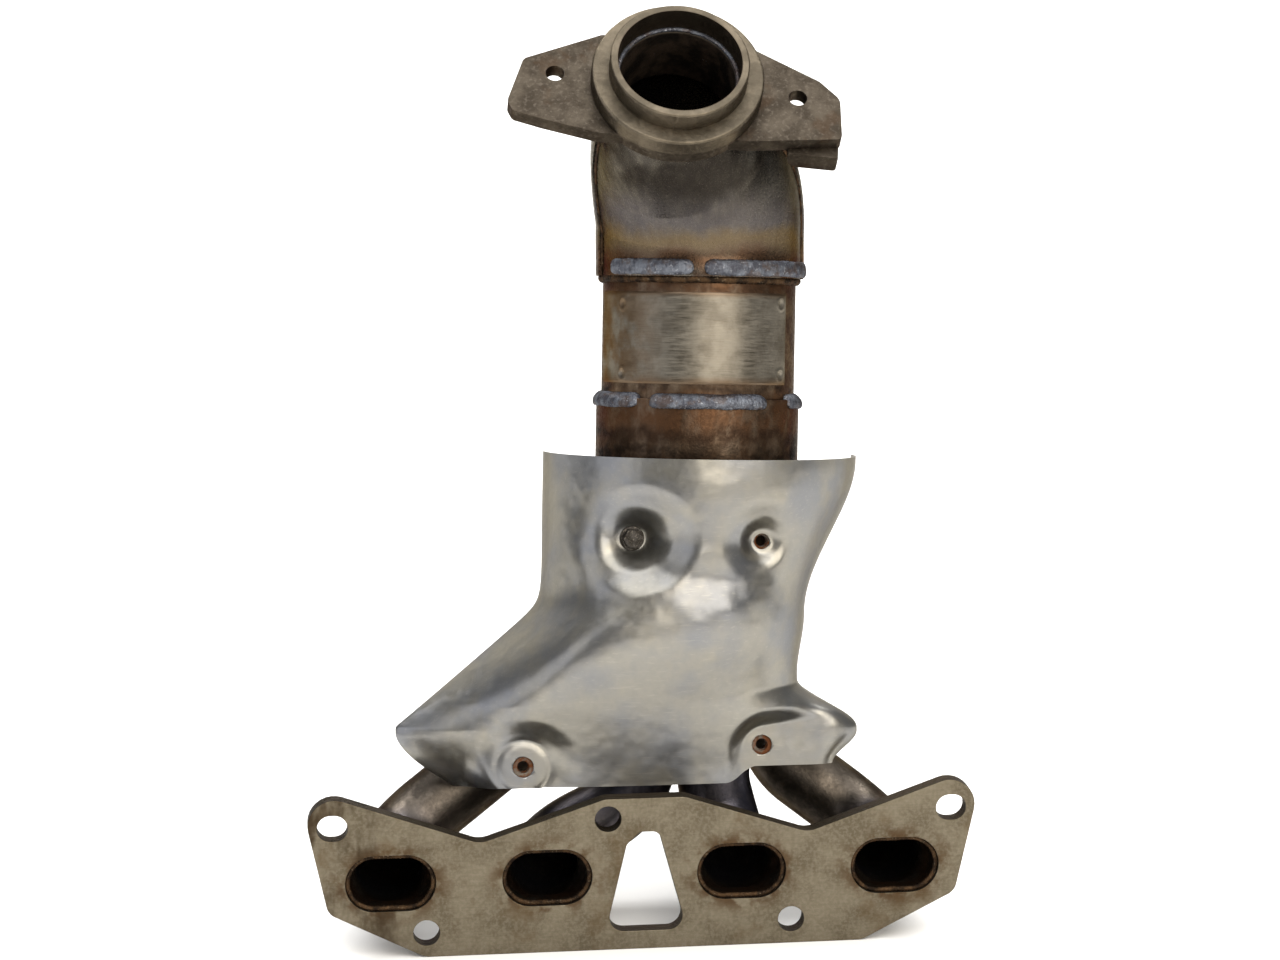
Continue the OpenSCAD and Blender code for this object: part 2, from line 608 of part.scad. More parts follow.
module outlet_flange() {
  left = [[-44, 30.5], [-86.5, 8.2], [-93, -22], [-89.5, -28.5], [-73, -32.3], [-41, -38]];
  right = [[42.3, -33.5], [94, -25.5], [92, 2], [80, 13], [42, 31]];
  color(steel_plate) in_outlet() difference() {
    union() {
      translate([0, 0, -outlet_t]) linear_extrude(outlet_t)
        rounded(concat(left, right), [5, 5, 5, 4, 8, 20, 20, 3, 8, 8, 5]);
      translate([0, 0, -outlet_t]) cylinder(h = outlet_t, d = hub_d - 4);
      rotate_extrude() difference() {
        translate([0, -1]) square([hub_d / 2, hub_h + 1]);
        translate([hub_d / 2 - 1.5, hub_h - 1.5]) difference() { square(3); circle(1.5); }
      }
      rotate_extrude() difference() {
        square([spigot_d / 2, hub_h + spigot_h]);
        translate([spigot_d / 2 - 1.2, hub_h + spigot_h - 1.2]) difference() { square(3); circle(1.2); }
      }
      // anti-rotation lip under the right ear
      translate([lip_x, -33, -outlet_t]) rotate([-90, 0, 0]) linear_extrude(lip_t)
        rounded([[0, -1], [lip_w, -1], [lip_w, lip_drop], [0, lip_drop]], [0.5, 0.5, 2, 7]);
    }
    translate([0, 0, -outlet_t - 20]) cylinder(h = 80, d = outlet_bore);
    for (k = [-1, 1]) translate([k * outlet_span / 2, 0, -outlet_t - 20]) cylinder(h = 60, d = outlet_hole_d);
  }
}

module outlet_neck_weld() {
  color(weld_metal) in_outlet() rotate_extrude() difference() {
    translate([neck_r - 0.9, ledge + eps]) circle(1.6);
    translate([0, ledge - 10 + eps]) square([60, 10]);
    translate([outlet_bore / 2 - eps, 0]) square([20, 40]);
    square([neck_r - neck_wall, 40]);
  }
}

module outlet_back_weld() {
  color(weld_metal) in_outlet() rotate_extrude() intersection() {
    translate([neck_r, -outlet_t - eps]) circle(3.4);
    translate([neck_r + eps, -outlet_t - 20]) square([20, 20 - eps]);
  }
}

// downstream sensor boss on the rear of the elbow
boss_t = 58;
boss_q = 90;
boss_base = elbow_skin(boss_t, boss_q, 0);
boss_out = unit(elbow_skin(boss_t, boss_q, 0) - elbow_pt(boss_t));
module at_downstream_boss() {
  x = [1, 0, 0];
  z = boss_out - boss_out[0] * x;
  w = unit(z);
  y = cross(w, x);
  multmatrix([[x[0], y[0], w[0], boss_base[0]], [x[1], y[1], w[1], boss_base[1]],
              [x[2], y[2], w[2], boss_base[2]], [0, 0, 0, 1]]) children();
}

module boss_body(seat) {
  difference() {
    translate([0, 0, seat]) cylinder(h = boss_h - seat, r = boss_r);
    translate([0, 0, -20]) cylinder(h = 60, r = boss_hole_r);
  }
}

module sensor_boss_upstream() {
  color(steel_plate) difference() {
    at_upstream_boss() boss_body(-6);
    in_can() translate([0, 0, cup_lo]) cylinder(h = 90, r = cup_r + eps);
  }
}
module sensor_boss_weld_upstream() {
  color(weld_metal) difference() {
    at_upstream_boss() translate([0, 0, -6]) cylinder(h = 8.5, r1 = boss_r + 7, r2 = boss_r + 0.6);
    at_upstream_boss() translate([0, 0, -20]) cylinder(h = 60, r = boss_r + eps);
    in_can() translate([0, 0, cup_lo]) cylinder(h = 90, r = cup_r + eps);
  }
}
module sensor_boss_downstream() { color(steel_plate) at_downstream_boss() boss_body(1.5); }
module sensor_boss_weld_downstream() {
  color(weld_metal) at_downstream_boss() translate([0, 0, 1]) difference() {
    cylinder(h = 3.5, r1 = boss_r + 3, r2 = boss_r + 0.6);
    translate([0, 0, -1]) cylinder(h = 10, r = boss_r + eps);
  }
}

// ================= heat shield and its fixings =================

shield_nu = 44;
shield_nv = 36;
hole_left = 12;
hole_right = 11.5;
hole_cup = 9;
fixings = [cup_left, cup_right, pad_left, tab_right];
fix_hole = [hole_cup, hole_cup, hole_left, hole_right];
// each fixing looks forwards along the converter frame's -y
module at_fixing(k) {
  in_can() translate(fixings[k]) rotate([90, 0, 0]) children();
}

module heat_shield() {
  color(steel_sheet) difference() {
    in_can() sheet(
      [for (j = [0:shield_nv]) for (i = [0:shield_nu]) shield_pt(i / shield_nu, j / shield_nv, 0)],
      [for (j = [0:shield_nv]) for (i = [0:shield_nu]) shield_pt(i / shield_nu, j / shield_nv, shield_t)],
      shield_nu, shield_nv);
    for (k = [0:3]) at_fixing(k) translate([0, 0, -12]) cylinder(h = 24, d = fix_hole[k]);
  }
}

bracket_t = 3;
bracket_w = 20;
bracket_gap = 0.1;     // from the back of the shield's pressed seat to the bracket face
bolt_seat = shield_t + 0.1;   // the bolt's washer face, measured from the back of the pressed seat
nut_h = 5;
nut_af = 10;

// flat pad with one leg running back to the part that carries it
module bracket(k, leg) {
  at_fixing(k) difference() {
    union() {
      translate([-bracket_w / 2, -bracket_w / 2, -bracket_gap - bracket_t]) cube([bracket_w, bracket_w, bracket_t]);
      translate([-bracket_w / 2, bracket_w / 2 - bracket_t, -bracket_gap - leg]) cube([bracket_w, bracket_t, leg]);
    }
    translate([0, 0, -60]) cylinder(h = 80, d = shield_thread + 1);
  }
}
module nut(k) {
  color(fastener_dark) at_fixing(k) translate([0, 0, -bracket_gap - bracket_t - nut_h - eps]) difference() {
    cylinder(h = nut_h, r = nut_af / sqrt(3), $fn = 6);
    translate([0, 0, -1]) cylinder(h = nut_h + 2, d = shield_thread + 0.1);
  }
}

module shield_bracket_1() {
  color(steel_tube) difference() {
    bracket(0, 37.2);
    in_can() translate([0, 0, -130]) cylinder(h = 140, r = cup_r + eps);
  }
}
module shield_bracket_2() {
  color(steel_tube) difference() {
    bracket(1, 33.2);
    in_can() translate([0, 0, -130]) cylinder(h = 140, r = cup_r + eps);
  }
}
// the tube that carries a lower bracket, as a solid bar along one straight of its centre line
module straight_bar(n, i) {
  path = runner_path(n);
  aimed(path[i], path[i + 1]) cylinder(h = norm(path[i + 1] - path[i]), r = runner_r + eps);
}
module shield_bracket_3() {
  color(steel_tube) difference() {
    bracket(2, 56.2);
    straight_bar(1, 1);
  }
}
module shield_bracket_4() {
  color(steel_tube) difference() {
    bracket(3, 63.2);
    straight_bar(4, 2);
    straight_bar(3, 2);
  }
}
module shield_nut_1() { nut(0); }
module shield_nut_2() { nut(1); }
module shield_nut_3() { nut(2); }
module shield_nut_4() { nut(3); }

module shield_bolt() {
  color(fastener_dark) at_fixing(0) {
    translate([0, 0, bolt_seat]) cylinder(h = 1.6, d = 14);
    translate([0, 0, bolt_seat + 0.9]) cylinder(h = 5.5, r = nut_af / sqrt(3), $fn = 6);
    translate([0, 0, -11]) cylinder(h = 11.5 + bolt_seat, d = shield_thread);
  }
}

// ================= drawing =================

head_flange();
runner_1();
runner_2();
runner_3();
runner_4();
port_weld_1();
port_weld_2();
port_weld_3();
port_weld_4();
runner_weld_1();
runner_weld_2();
runner_weld_3();
runner_weld_4();
collector();
collector_weld();
inlet_sleeve();
inlet_sleeve_weld();
converter_shell();
support_mat();
monolith();
mat_seal_inlet();
mat_seal_outlet();
data_plate();
inlet_bead_left();
inlet_bead_front();
inlet_bead_right();
inlet_bead_rear();
elbow_front();
elbow_rear();
elbow_root_weld();
outlet_bead_left();
outlet_bead_right();
outlet_bead_rear_right();
outlet_bead_rear_left();
elbow_seam_left();
elbow_seam_right();
outlet_neck();
outlet_flange();
outlet_neck_weld();
outlet_back_weld();
heat_shield();
shield_bolt();
shield_bracket_1();
shield_bracket_2();
shield_bracket_3();
shield_bracket_4();
shield_nut_1();
shield_nut_2();
shield_nut_3();
shield_nut_4();
sensor_boss_upstream();
sensor_boss_weld_upstream();
sensor_boss_downstream();
sensor_boss_weld_downstream();
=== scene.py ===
import json
import math

import bmesh
import bpy
import numpy as np
from bpy.props import FloatProperty, FloatVectorProperty, IntProperty, PointerProperty
from mathutils import Euler, Matrix, Vector


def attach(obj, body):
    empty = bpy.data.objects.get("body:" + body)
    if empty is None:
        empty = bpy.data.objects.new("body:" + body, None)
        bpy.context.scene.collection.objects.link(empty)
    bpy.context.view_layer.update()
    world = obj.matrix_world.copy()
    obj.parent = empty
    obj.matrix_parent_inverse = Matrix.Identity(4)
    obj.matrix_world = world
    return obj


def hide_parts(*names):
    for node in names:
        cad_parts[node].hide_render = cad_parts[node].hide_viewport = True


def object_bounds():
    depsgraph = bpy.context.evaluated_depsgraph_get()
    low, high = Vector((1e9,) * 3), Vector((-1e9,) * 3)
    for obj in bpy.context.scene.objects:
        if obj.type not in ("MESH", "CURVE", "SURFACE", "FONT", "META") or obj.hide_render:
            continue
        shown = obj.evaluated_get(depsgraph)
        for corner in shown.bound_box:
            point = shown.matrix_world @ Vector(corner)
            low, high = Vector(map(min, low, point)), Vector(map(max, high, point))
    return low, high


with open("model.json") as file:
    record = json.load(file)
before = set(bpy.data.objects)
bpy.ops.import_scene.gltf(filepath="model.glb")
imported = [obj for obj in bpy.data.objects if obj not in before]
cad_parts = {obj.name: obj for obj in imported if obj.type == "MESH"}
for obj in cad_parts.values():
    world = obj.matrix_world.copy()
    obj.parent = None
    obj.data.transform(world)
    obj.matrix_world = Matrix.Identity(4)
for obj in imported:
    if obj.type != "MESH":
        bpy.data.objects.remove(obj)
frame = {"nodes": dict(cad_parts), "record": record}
CAD_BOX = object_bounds()

bl_info = {
    "name": "Exhaust manifold with converter",
    "version": (1, 0, 0),
    "blender": (4, 5, 0),
    "location": "View3D > Sidebar > Manifold",
    "description": "Builds the finished surfaces of a tubular exhaust manifold round its frame",
    "category": "Object",
}

MM = 0.001

# ---- sizes shared by the pieces, in millimetres, as in the part's own source
FLANGE_T = 10.0
PORT_X = (-144.0, -55.5, 55.5, 144.0)
PORT_DROP = 33.5
PORT_W, PORT_H = 51.0, 33.0
TUBE_FIT = 0.1
RUNNER_R, RUNNER_WALL = 21.2, 2.0
FLARE_START, FLARE_MID, FLARE_END = 3.5, 12.0, 24.0
LEAN_BACK, LEAN_SIDE = 9.0, 2.0
CAN_ORIGIN = (43.8, 112.0, 220.4)
SHELL_RI, SHELL_R = 55.0, 56.5
SHELL_LO, SHELL_HI = -22.0, 84.0
CUP_WALL = 2.0
SLEEVE_RI, SLEEVE_R, SLEEVE_LO = 57.4, 59.4, -44.0
CUP_R, CUP_LO = 57.38, -112.0
TUBE_OFF = 23.0
ENTRY = 28.0
OUTLET_TILT, OUTLET_ROLL = 47.5, -8.0
OUTLET_T = 9.0
NECK_R, NECK_WALL, NECK_LO, LEDGE = 34.5, 2.0, -32.0, 7.4
ELBOW_S, ELBOW_STRAIGHT, ELBOW_BEND, ELBOW_GAP = 70.0, 10.0, 80.0, 5.0
ELBOW_R, ELBOW_FOOT, ELBOW_TIP, ELBOW_FULL, ELBOW_LEAN = 61.0, 60.6, 38.6, 45.0, 30.0
LAP_OUT, LAP_IN = 8.0, 4.0
BOSS_R, BOSS_HOLE, BOSS_H = 13.0, 8.2, 14.0
SENSOR_LO, SENSOR_Q = -72.0, 125.0
SHIELD_TOP, DROP_LEFT, DROP_RIGHT = -33.0, 192.0, 186.0
CUPS = ((-43.7, -53.5, -79.5), (29.8, -62.5, -80.0), (-103.0, -45.0, -212.0), (35.0, -44.0, -199.0))
CUP_HOLES = (9.0, 9.0, 12.0, 11.5)

CAN = Matrix.Translation(CAN_ORIGIN) @ Euler(
    (math.radians(-LEAN_BACK), math.radians(LEAN_SIDE), 0)).to_matrix().to_4x4()
_bolts = next(m for m in frame["record"]["mounts"] if m["name"] == "outlet_bolts")
OUTLET_ORIGIN = tuple(v / MM for v in _bolts["pos_m"])
OUTLET = (Matrix.Translation(OUTLET_ORIGIN)
          @ Matrix.Rotation(math.radians(OUTLET_TILT), 4, "X")
          @ Matrix.Rotation(math.radians(OUTLET_ROLL), 4, "Z"))


# ================= settings =================

def linear(code):
    """An sRGB hex colour as linear red, green and blue."""
    out = []
    for i in (1, 3, 5):
        c = int(code[i:i + 2], 16) / 255
        out.append(c / 12.92 if c <= 0.04045 else ((c + 0.055) / 1.055) ** 2.4)
    return tuple(out)


def rgba(code):
    """The same with a full alpha, for a shader's socket."""
    return (*linear(code), 1.0) if isinstance(code, str) else (*code[:3], 1.0)


def colour(label, note, code):
    return FloatVectorProperty(name=label, description=note, subtype="COLOR", size=3, min=0, max=1,
                               default=linear(code))


def metres(label, note, start, least, most):
    return FloatProperty(name=label, description=note, default=start, min=least, max=most, unit="LENGTH")


class ManifoldSizes(bpy.types.PropertyGroup):
    sheet_t: metres("Shield sheet", "Thickness of the heat shield's sheet", 0.0012, 0.0006, 0.002)
    edge_break: metres("Edge break", "Width of the broken edges on the plate parts",
                       0.0007, 0.0001, 0.002)
    ripple_pitch: metres("Ripple pitch", "Distance between two ripples of a weld bead",
                         0.0022, 0.001, 0.006)
    ripple_height: metres("Ripple height", "Height of the ripples on a weld bead", 0.00035, 0, 0.001)
    lump_height: metres("Bead lumps", "Height of the slow swells along a weld bead", 0.0014, 0, 0.003)
    seed: IntProperty(name="Seed", description="Seed of the weld beads' unevenness", default=4, min=0)


class ManifoldColours(bpy.types.PropertyGroup):
    sheet: colour("Shield sheet", "Aluminised sheet of the heat shield", "#8D8A82")
    plate: colour("Flange plate", "Milled face of the head flange", "#6F6757")
    tube: colour("Runner tube", "Stainless runner tubes", "#544D45")
    can: colour("Converter shell", "Stainless converter shell away from the welds", "#5E5042")
    elbow: colour("Elbow", "Pressed elbow shells", "#635E56")
    tint: colour("Heat tint", "Straw and brown oxide next to a weld", "#4C3524")
    # this colour is also used for the painted shadow under the outlet flange on the elbow
    soot: colour("Soot", "Burnt oxide and soot", "#1B1714")
    bead: colour("Weld bead", "Cooled weld metal", "#6C7078")
    rust: colour("Rust", "Thin rust on bare mild steel", "#6E3E1E")
    floor: colour("Floor", "Painted studio floor", "#F4F3F1")


# ================= node and mesh helpers =================

def add(tree, kind, settings=None, inputs=None):
    """Adds one node with its settings, and sets or links its inputs. "stops" fills a colour ramp."""
    n = tree.nodes.new(kind)
    for key, value in (settings or {}).items():
        if key == "stops":
            ramp = n.color_ramp
            while len(ramp.elements) > 2:
                ramp.elements.remove(ramp.elements[-1])
            for i, (place, code) in enumerate(value):
                stop = ramp.elements[i] if i < 2 else ramp.elements.new(place)
                stop.position = place
                stop.color = rgba(code) if isinstance(code, (str, tuple)) else (code, code, code, 1)
        else:
            setattr(n, key, value)
    for key, value in (inputs or {}).items():
        socket = n.inputs[key]
        if isinstance(value, bpy.types.NodeSocket):
            tree.links.new(value, socket)
        elif isinstance(value, bpy.types.Node):
            tree.links.new(value.outputs[0], socket)
        else:
            socket.default_value = value
    return n


def place(matrix, x, y, z):
    """Points of a local frame, in millimetres, as an array in the row frame."""
    m = np.array(matrix)
    p = np.stack(np.broadcast_arrays(x, y, z), -1).astype(float)
    return p @ m[:3, :3].T + m[:3, 3]


def unit(v):
    return v / np.maximum(np.linalg.norm(v, axis=-1, keepdims=True), 1e-12)


def ramp(t, a, b):
    k = np.clip((t - a) / (b - a), 0, 1)
    return k * k * (3 - 2 * k)


def spow(t, p):
    return np.sign(t) * np.abs(t) ** p


def grid_quads(rows, cols, wrap_rows=False, wrap_cols=False, first=0, flip=False):
    """Faces of a grid of points listed row by row."""
    j, i = np.meshgrid(np.arange(rows if wrap_rows else rows - 1),
                       np.arange(cols if wrap_cols else cols - 1), indexing="ij")
    j, i = j.ravel(), i.ravel()
    j2, i2 = (j + 1) % rows, (i + 1) % cols
    quad = np.stack([j * cols + i, j * cols + i2, j2 * cols + i2, j2 * cols + i], -1) + first
    return (quad[:, ::-1] if flip else quad).tolist()


def both(outer, inner):
    """The points of two equal grids, one after the other."""
    return np.concatenate([outer.reshape(-1, 3), inner.reshape(-1, 3)])


def sheet_faces(rows, cols):
    """Faces of a closed sheet whose two sides are equal grids, one after the other."""
    off = rows * cols
    faces = grid_quads(rows, cols) + grid_quads(rows, cols, first=off, flip=True)
    edge = ([(0, i) for i in range(cols - 1)] + [(j, cols - 1) for j in range(rows - 1)]
            + [(rows - 1, i) for i in range(cols - 1, 0, -1)] + [(j, 0) for j in range(rows - 1, 0, -1)])
    ids = [j * cols + i for j, i in edge]
    for a, b in zip(ids, ids[1:] + ids[:1]):
        faces.append([b, a, off + a, off + b])
    return faces


def mesh_of(name, verts_mm, faces, sharp=35):
    """A closed mesh in metres, faces outwards, smooth apart from its sharp edges."""
    me = bpy.data.meshes.new(name)
    me.from_pydata((np.asarray(verts_mm, float).reshape(-1, 3) * MM).tolist(), [], faces)
    bm = bmesh.new()
    bm.from_mesh(me)
    if bm.calc_volume(signed=True) < 0:
        bmesh.ops.reverse_faces(bm, faces=bm.faces)
    bm.to_mesh(me)
    bm.free()
    me.shade_smooth()
    me.set_sharp_from_angle(angle=math.radians(sharp))
    return me


def piece(name, me, material, nodes):
    """Links a finished mesh as one piece that stands for these nodes."""
    me.materials.clear()
    me.materials.append(material)
    ob = bpy.data.objects.new(name, me)
    bpy.context.scene.collection.objects.link(ob)
    missing = [n for n in nodes if n not in frame["nodes"]]
    if missing:
        raise RuntimeError(f"{name}: no node named {missing}")
    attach(ob, "root")
    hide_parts(*nodes)
    return ob


def joined(name, parts, sharp=35):
    """Several (points, faces) lists as one mesh of closed shells."""
    verts, faces = [], []
    for p, f in parts:
        first = sum(len(v) for v in verts)
        verts.append(np.asarray(p, float).reshape(-1, 3))
        faces += [[k + first for k in q] for q in f]
    return mesh_of(name, np.concatenate(verts), faces, sharp)


def broken_edges(name, width, material, segments=2, angle=28):
    """A copy of a plate part whose sharp edges are broken, as a file or a tumbler leaves them."""
    me = frame["nodes"][name].data.copy()
    me.name = name + "_finished"
    bm = bmesh.new()
    bm.from_mesh(me)
    bmesh.ops.remove_doubles(bm, verts=bm.verts, dist=2e-6)
    bmesh.ops.dissolve_limit(bm, angle_limit=math.radians(0.6), verts=bm.verts, edges=bm.edges)
    hard = [e for e in bm.edges if len(e.link_faces) == 2 and e.calc_face_angle(0) > math.radians(angle)]
    bmesh.ops.bevel(bm, geom=hard, offset=width, offset_type="OFFSET", segments=segments, profile=0.5,
                    affect="EDGES", clamp_overlap=True)
    bmesh.ops.triangulate(bm, faces=[f for f in bm.faces if len(f.verts) > 4])
    bm.to_mesh(me)
    bm.free()
    me.shade_smooth()
    me.set_sharp_from_angle(angle=math.radians(50))
    ob = piece(name + "_finished", me, material, [name])
    even = ob.modifiers.new("even normals", "WEIGHTED_NORMAL")
    even.keep_sharp = True
    return ob


# ================= materials =================

def surface(name, metallic, roughness, specular=0.5):
    """An empty metal or ceramic surface: its tree, its shader and its object coordinates."""
    mat = bpy.data.materials.new(name)
    mat.use_nodes = True
    tree = mat.node_tree
    tree.nodes.clear()
    shader = add(tree, "ShaderNodeBsdfPrincipled", None,
                 {"Metallic": metallic, "Roughness": roughness, "Specular IOR Level": specular,
                  "Specular Tint": rgba("#9A968F") if metallic > 0.3 else rgba("#FFFFFF")})
    add(tree, "ShaderNodeOutputMaterial", None, {"Surface": shader})
    return mat, tree, shader, add(tree, "ShaderNodeTexCoord").outputs["Object"]


def local(tree, coords, matrix):
    """Object coordinates turned into a local frame."""
    return add(tree, "ShaderNodeMapping", {"vector_type": "TEXTURE"},
               {"Vector": coords, "Location": matrix.to_translation() * MM,
                "Rotation": matrix.to_euler("XYZ")})


def cover(tree, under, over, mask, much=1):
    """One colour covered by another where a mask says, by as much as given."""
    n = add(tree, "ShaderNodeMix", {"data_type": "RGBA"})
    if much != 1:
        mask = where(tree, mask, much)
    if isinstance(mask, bpy.types.Node):
        mask = mask.outputs[0]
    tree.links.new(mask, n.inputs[0])
    for index, value in ((6, under), (7, over)):
        if isinstance(value, bpy.types.NodeSocket):
            tree.links.new(value, n.inputs[index])
        else:
            n.inputs[index].default_value = rgba(value)
    return n.outputs[2]


def blotches(tree, coords, size_mm, low, high, detail=4.0, rough=0.6, stretch=None):
    """Patches of this size as a mask from 0 to 1: noise cut between low and high."""
    if stretch:
        coords = add(tree, "ShaderNodeMapping", None, {"Vector": coords, "Scale": stretch})
    patch = add(tree, "ShaderNodeTexNoise", None,
                {"Vector": coords, "Scale": 1 / (size_mm * MM), "Detail": detail, "Roughness": rough})
    return add(tree, "ShaderNodeMapRange", {"interpolation_type": "SMOOTHSTEP"},
               {"Value": patch.outputs["Fac"], "From Min": low, "From Max": high})


def where(tree, *masks):
    """Where all the masks hold: their product."""
    out = masks[0]
    for f in masks[1:]:
        out = add(tree, "ShaderNodeMath", {"operation": "MULTIPLY"}, {0: out, 1: f})
    return out


def grain_bump(tree, shader, height, depth_mm, under=None):
    """Raises the surface by a height from 0 to 1 times the given depth."""
    feed = {"Height": height, "Distance": depth_mm * MM, "Strength": 1.0}
    if under is not None:
        feed["Normal"] = under
    bump = add(tree, "ShaderNodeBump", None, feed)
    tree.links.new(bump.outputs["Normal"], shader.inputs["Normal"])
    return bump.outputs["Normal"]


def near(tree, value, centre, reach):
    """A mask that is 1 at a value and falls to 0 at a reach from it, all in metres."""
    off = add(tree, "ShaderNodeMath", {"operation": "SUBTRACT"}, {0: value, 1: centre})
    far = add(tree, "ShaderNodeMath", {"operation": "ABSOLUTE"}, {0: off})
    return add(tree, "ShaderNodeMapRange", {"interpolation_type": "SMOOTHSTEP"},
               {"Value": far, "From Min": 0.0, "From Max": reach, "To Min": 1.0, "To Max": 0.0})


def roughened(tree, shader, mask, low, high):
    """Roughness between two values by a mask."""
    spread = add(tree, "ShaderNodeMapRange", None, {"Value": mask, "To Min": low, "To Max": high})
    tree.links.new(spread.outputs["Result"], shader.inputs["Roughness"])


def painted(tree, shader, coords, base, layers):
    """Covers a base colour with patchy layers and gives it to the shader. Each layer is a colour, a patch
    size in millimetres, the cut of its noise and its strength, and may end in the noise's detail."""
    for code, size_mm, low, high, much, *detail in layers:
        patch = blotches(tree, coords, size_mm, low, high, *detail)
        base = cover(tree, base, code, patch, much)
    tree.links.new(base, shader.inputs["Base Color"])


def worn(tree, shader, coords, size_mm, smooth, rough, depth_mm, low=0.35, detail=5):
    """Fine unevenness of one size in both the roughness and the relief."""
    fine = blotches(tree, coords, size_mm, low, 1 - low, detail=detail)
    roughened(tree, shader, fine, smooth, rough)
    grain_bump(tree, shader, fine, depth_mm)


def milled_plate(look):
    # Milled mild steel: fine cutter lines along the face, brown oil stain, sides painted darker as shade.
    mat, tree, shader, here = surface("milled_steel_plate", 0.85, 0.45)
    cloudy = blotches(tree, here, 22, 0.35, 0.68)
    specks = blotches(tree, here, 2.2, 0.42, 0.62, detail=6)
    base = cover(tree, look.plate, "#5A5243", cloudy)
    base = cover(tree, base, "#82796A", specks, 0.35)
    split = add(tree, "ShaderNodeSeparateXYZ", None, {0: here})
    ring = None
    for x in PORT_X:
        away = add(tree, "ShaderNodeVectorMath", {"operation": "SUBTRACT"},
                   {0: here, 1: (x * MM, 0, -PORT_DROP * MM)})
        flat = add(tree, "ShaderNodeVectorMath", {"operation": "MULTIPLY"}, {0: away, 1: (0.72, 0, 1.0)})
        length = add(tree, "ShaderNodeVectorMath", {"operation": "LENGTH"}, {0: flat})
        halo = near(tree, length.outputs["Value"], 0.0175, 0.011)
        ring = halo if ring is None else add(tree, "ShaderNodeMath", {"operation": "MAXIMUM"},
                                             {0: ring, 1: halo})
    stain = where(tree, ring, blotches(tree, here, 12, 0.40, 0.60))
    base = cover(tree, base, "#45321F", stain, 0.85)
    left = add(tree, "ShaderNodeMapRange", {"interpolation_type": "SMOOTHSTEP"},
               {"Value": split.outputs["X"], "From Min": -0.118, "From Max": -0.155})
    streak = blotches(tree, here, 26, 0.44, 0.60, stretch=(1.0, 1.0, 0.45))
    base = cover(tree, base, "#33271A", where(tree, left, streak), 0.9)
    patches = blotches(tree, here, 38, 0.54, 0.70)
    base = cover(tree, base, "#51412C", patches, 0.55)
    # painted shade: faces that do not point front or back are darkened by which way they face
    face = add(tree, "ShaderNodeSeparateXYZ", None,
               {0: add(tree, "ShaderNodeNewGeometry").outputs["Normal"]})
    upright = add(tree, "ShaderNodeMath", {"operation": "ABSOLUTE"}, {0: face.outputs["Y"]})
    side = add(tree, "ShaderNodeMapRange", None,
               {"Value": upright, "From Min": 0.9, "From Max": 0.35})
    base = cover(tree, base, "#302B24", side, 0.8)
    tree.links.new(base, shader.inputs["Base Color"])
    # cutter lines really lie 0.2 mm apart; drawn at 0.7 mm so that they show
    lines = blotches(tree, here, 0.7, 0.3, 0.7, detail=2, stretch=(0.03, 1, 1))
    roughened(tree, shader, lines, 0.36, 0.56)
    pits = add(tree, "ShaderNodeMath", {"operation": "ADD"}, {0: where(tree, lines, 0.5), 1: specks})
    grain_bump(tree, shader, pits, 0.05)
    return mat


def drawn_tube(look):
    # Seam-welded stainless tube: dull grey-brown skin, straw and violet heat colours, draw marks.
    mat, tree, shader, here = surface("heat_coloured_stainless_tube", 0.95, 0.36)
    cloudy = blotches(tree, here, 30, 0.35, 0.65)
    base = cover(tree, look.tube, "#3A3530", cloudy)
    base = cover(tree, base, "#6E655B", blotches(tree, here, 9, 0.5, 0.68), 0.35)
    split = add(tree, "ShaderNodeSeparateXYZ", None, {0: here})
    hot = near(tree, split.outputs["Y"], 0.012, 0.026)
    base = cover(tree, base, look.tint, where(tree, hot, blotches(tree, here, 14, 0.3, 0.6)), 0.8)
    base = cover(tree, base, "#3E4152", near(tree, split.outputs["Y"], 0.042, 0.02), 0.5)
    tree.links.new(base, shader.inputs["Base Color"])
    worn(tree, shader, here, 1.6, 0.30, 0.46, 0.035)
    return mat


def heated_shell(look, name="heat_tinted_stainless_shell"):
    # Rolled stainless that has run red hot: straw, brown and blue-black bands beside each weld.
    mat, tree, shader, here = surface(name, 0.9, 0.4)
    can = local(tree, here, CAN)
    split = add(tree, "ShaderNodeSeparateXYZ", None, {0: can})
    wander = add(tree, "ShaderNodeTexNoise", None, {"Vector": can, "Scale": 45.0, "Detail": 3.0})
    shift = add(tree, "ShaderNodeMapRange", None,
                {"Value": wander.outputs["Fac"], "To Min": -0.012, "To Max": 0.012})
    s = add(tree, "ShaderNodeMath", {"operation": "ADD"}, {0: split.outputs["Z"], 1: shift})
    base = cover(tree, look.can, "#3B2E23", blotches(tree, can, 16, 0.35, 0.66))
    streak = blotches(tree, can, 7, 0.42, 0.66, stretch=(1, 1, 0.22))
    base = cover(tree, base, "#76685A", streak, 0.35)
    for at, reach, code, much in ((-0.009, 0.026, look.tint, 0.95), (0.066, 0.016, look.tint, 0.95),
                                  (-0.040, 0.014, look.tint, 0.8), (-0.020, 0.007, "#2C1F17", 0.8),
                                  (0.0065, 0.005, "#2A211B", 0.85), (-0.106, 0.02, look.tint, 0.8),
                                  (0.0645, 0.004, "#3A2C22", 0.7)):
        patch = blotches(tree, can, 11, 0.30, 0.58, stretch=(1, 1, 0.6))
        base = cover(tree, base, code, where(tree, near(tree, s, at, reach), patch), much)
    dark = where(tree, near(tree, s, -0.030, 0.016), blotches(tree, can, 20, 0.42, 0.6))
    base = cover(tree, base, "#241C16", dark, 0.85)
    tree.links.new(base, shader.inputs["Base Color"])
    worn(tree, shader, can, 2.0, 0.32, 0.52, 0.06, detail=6)
    return mat


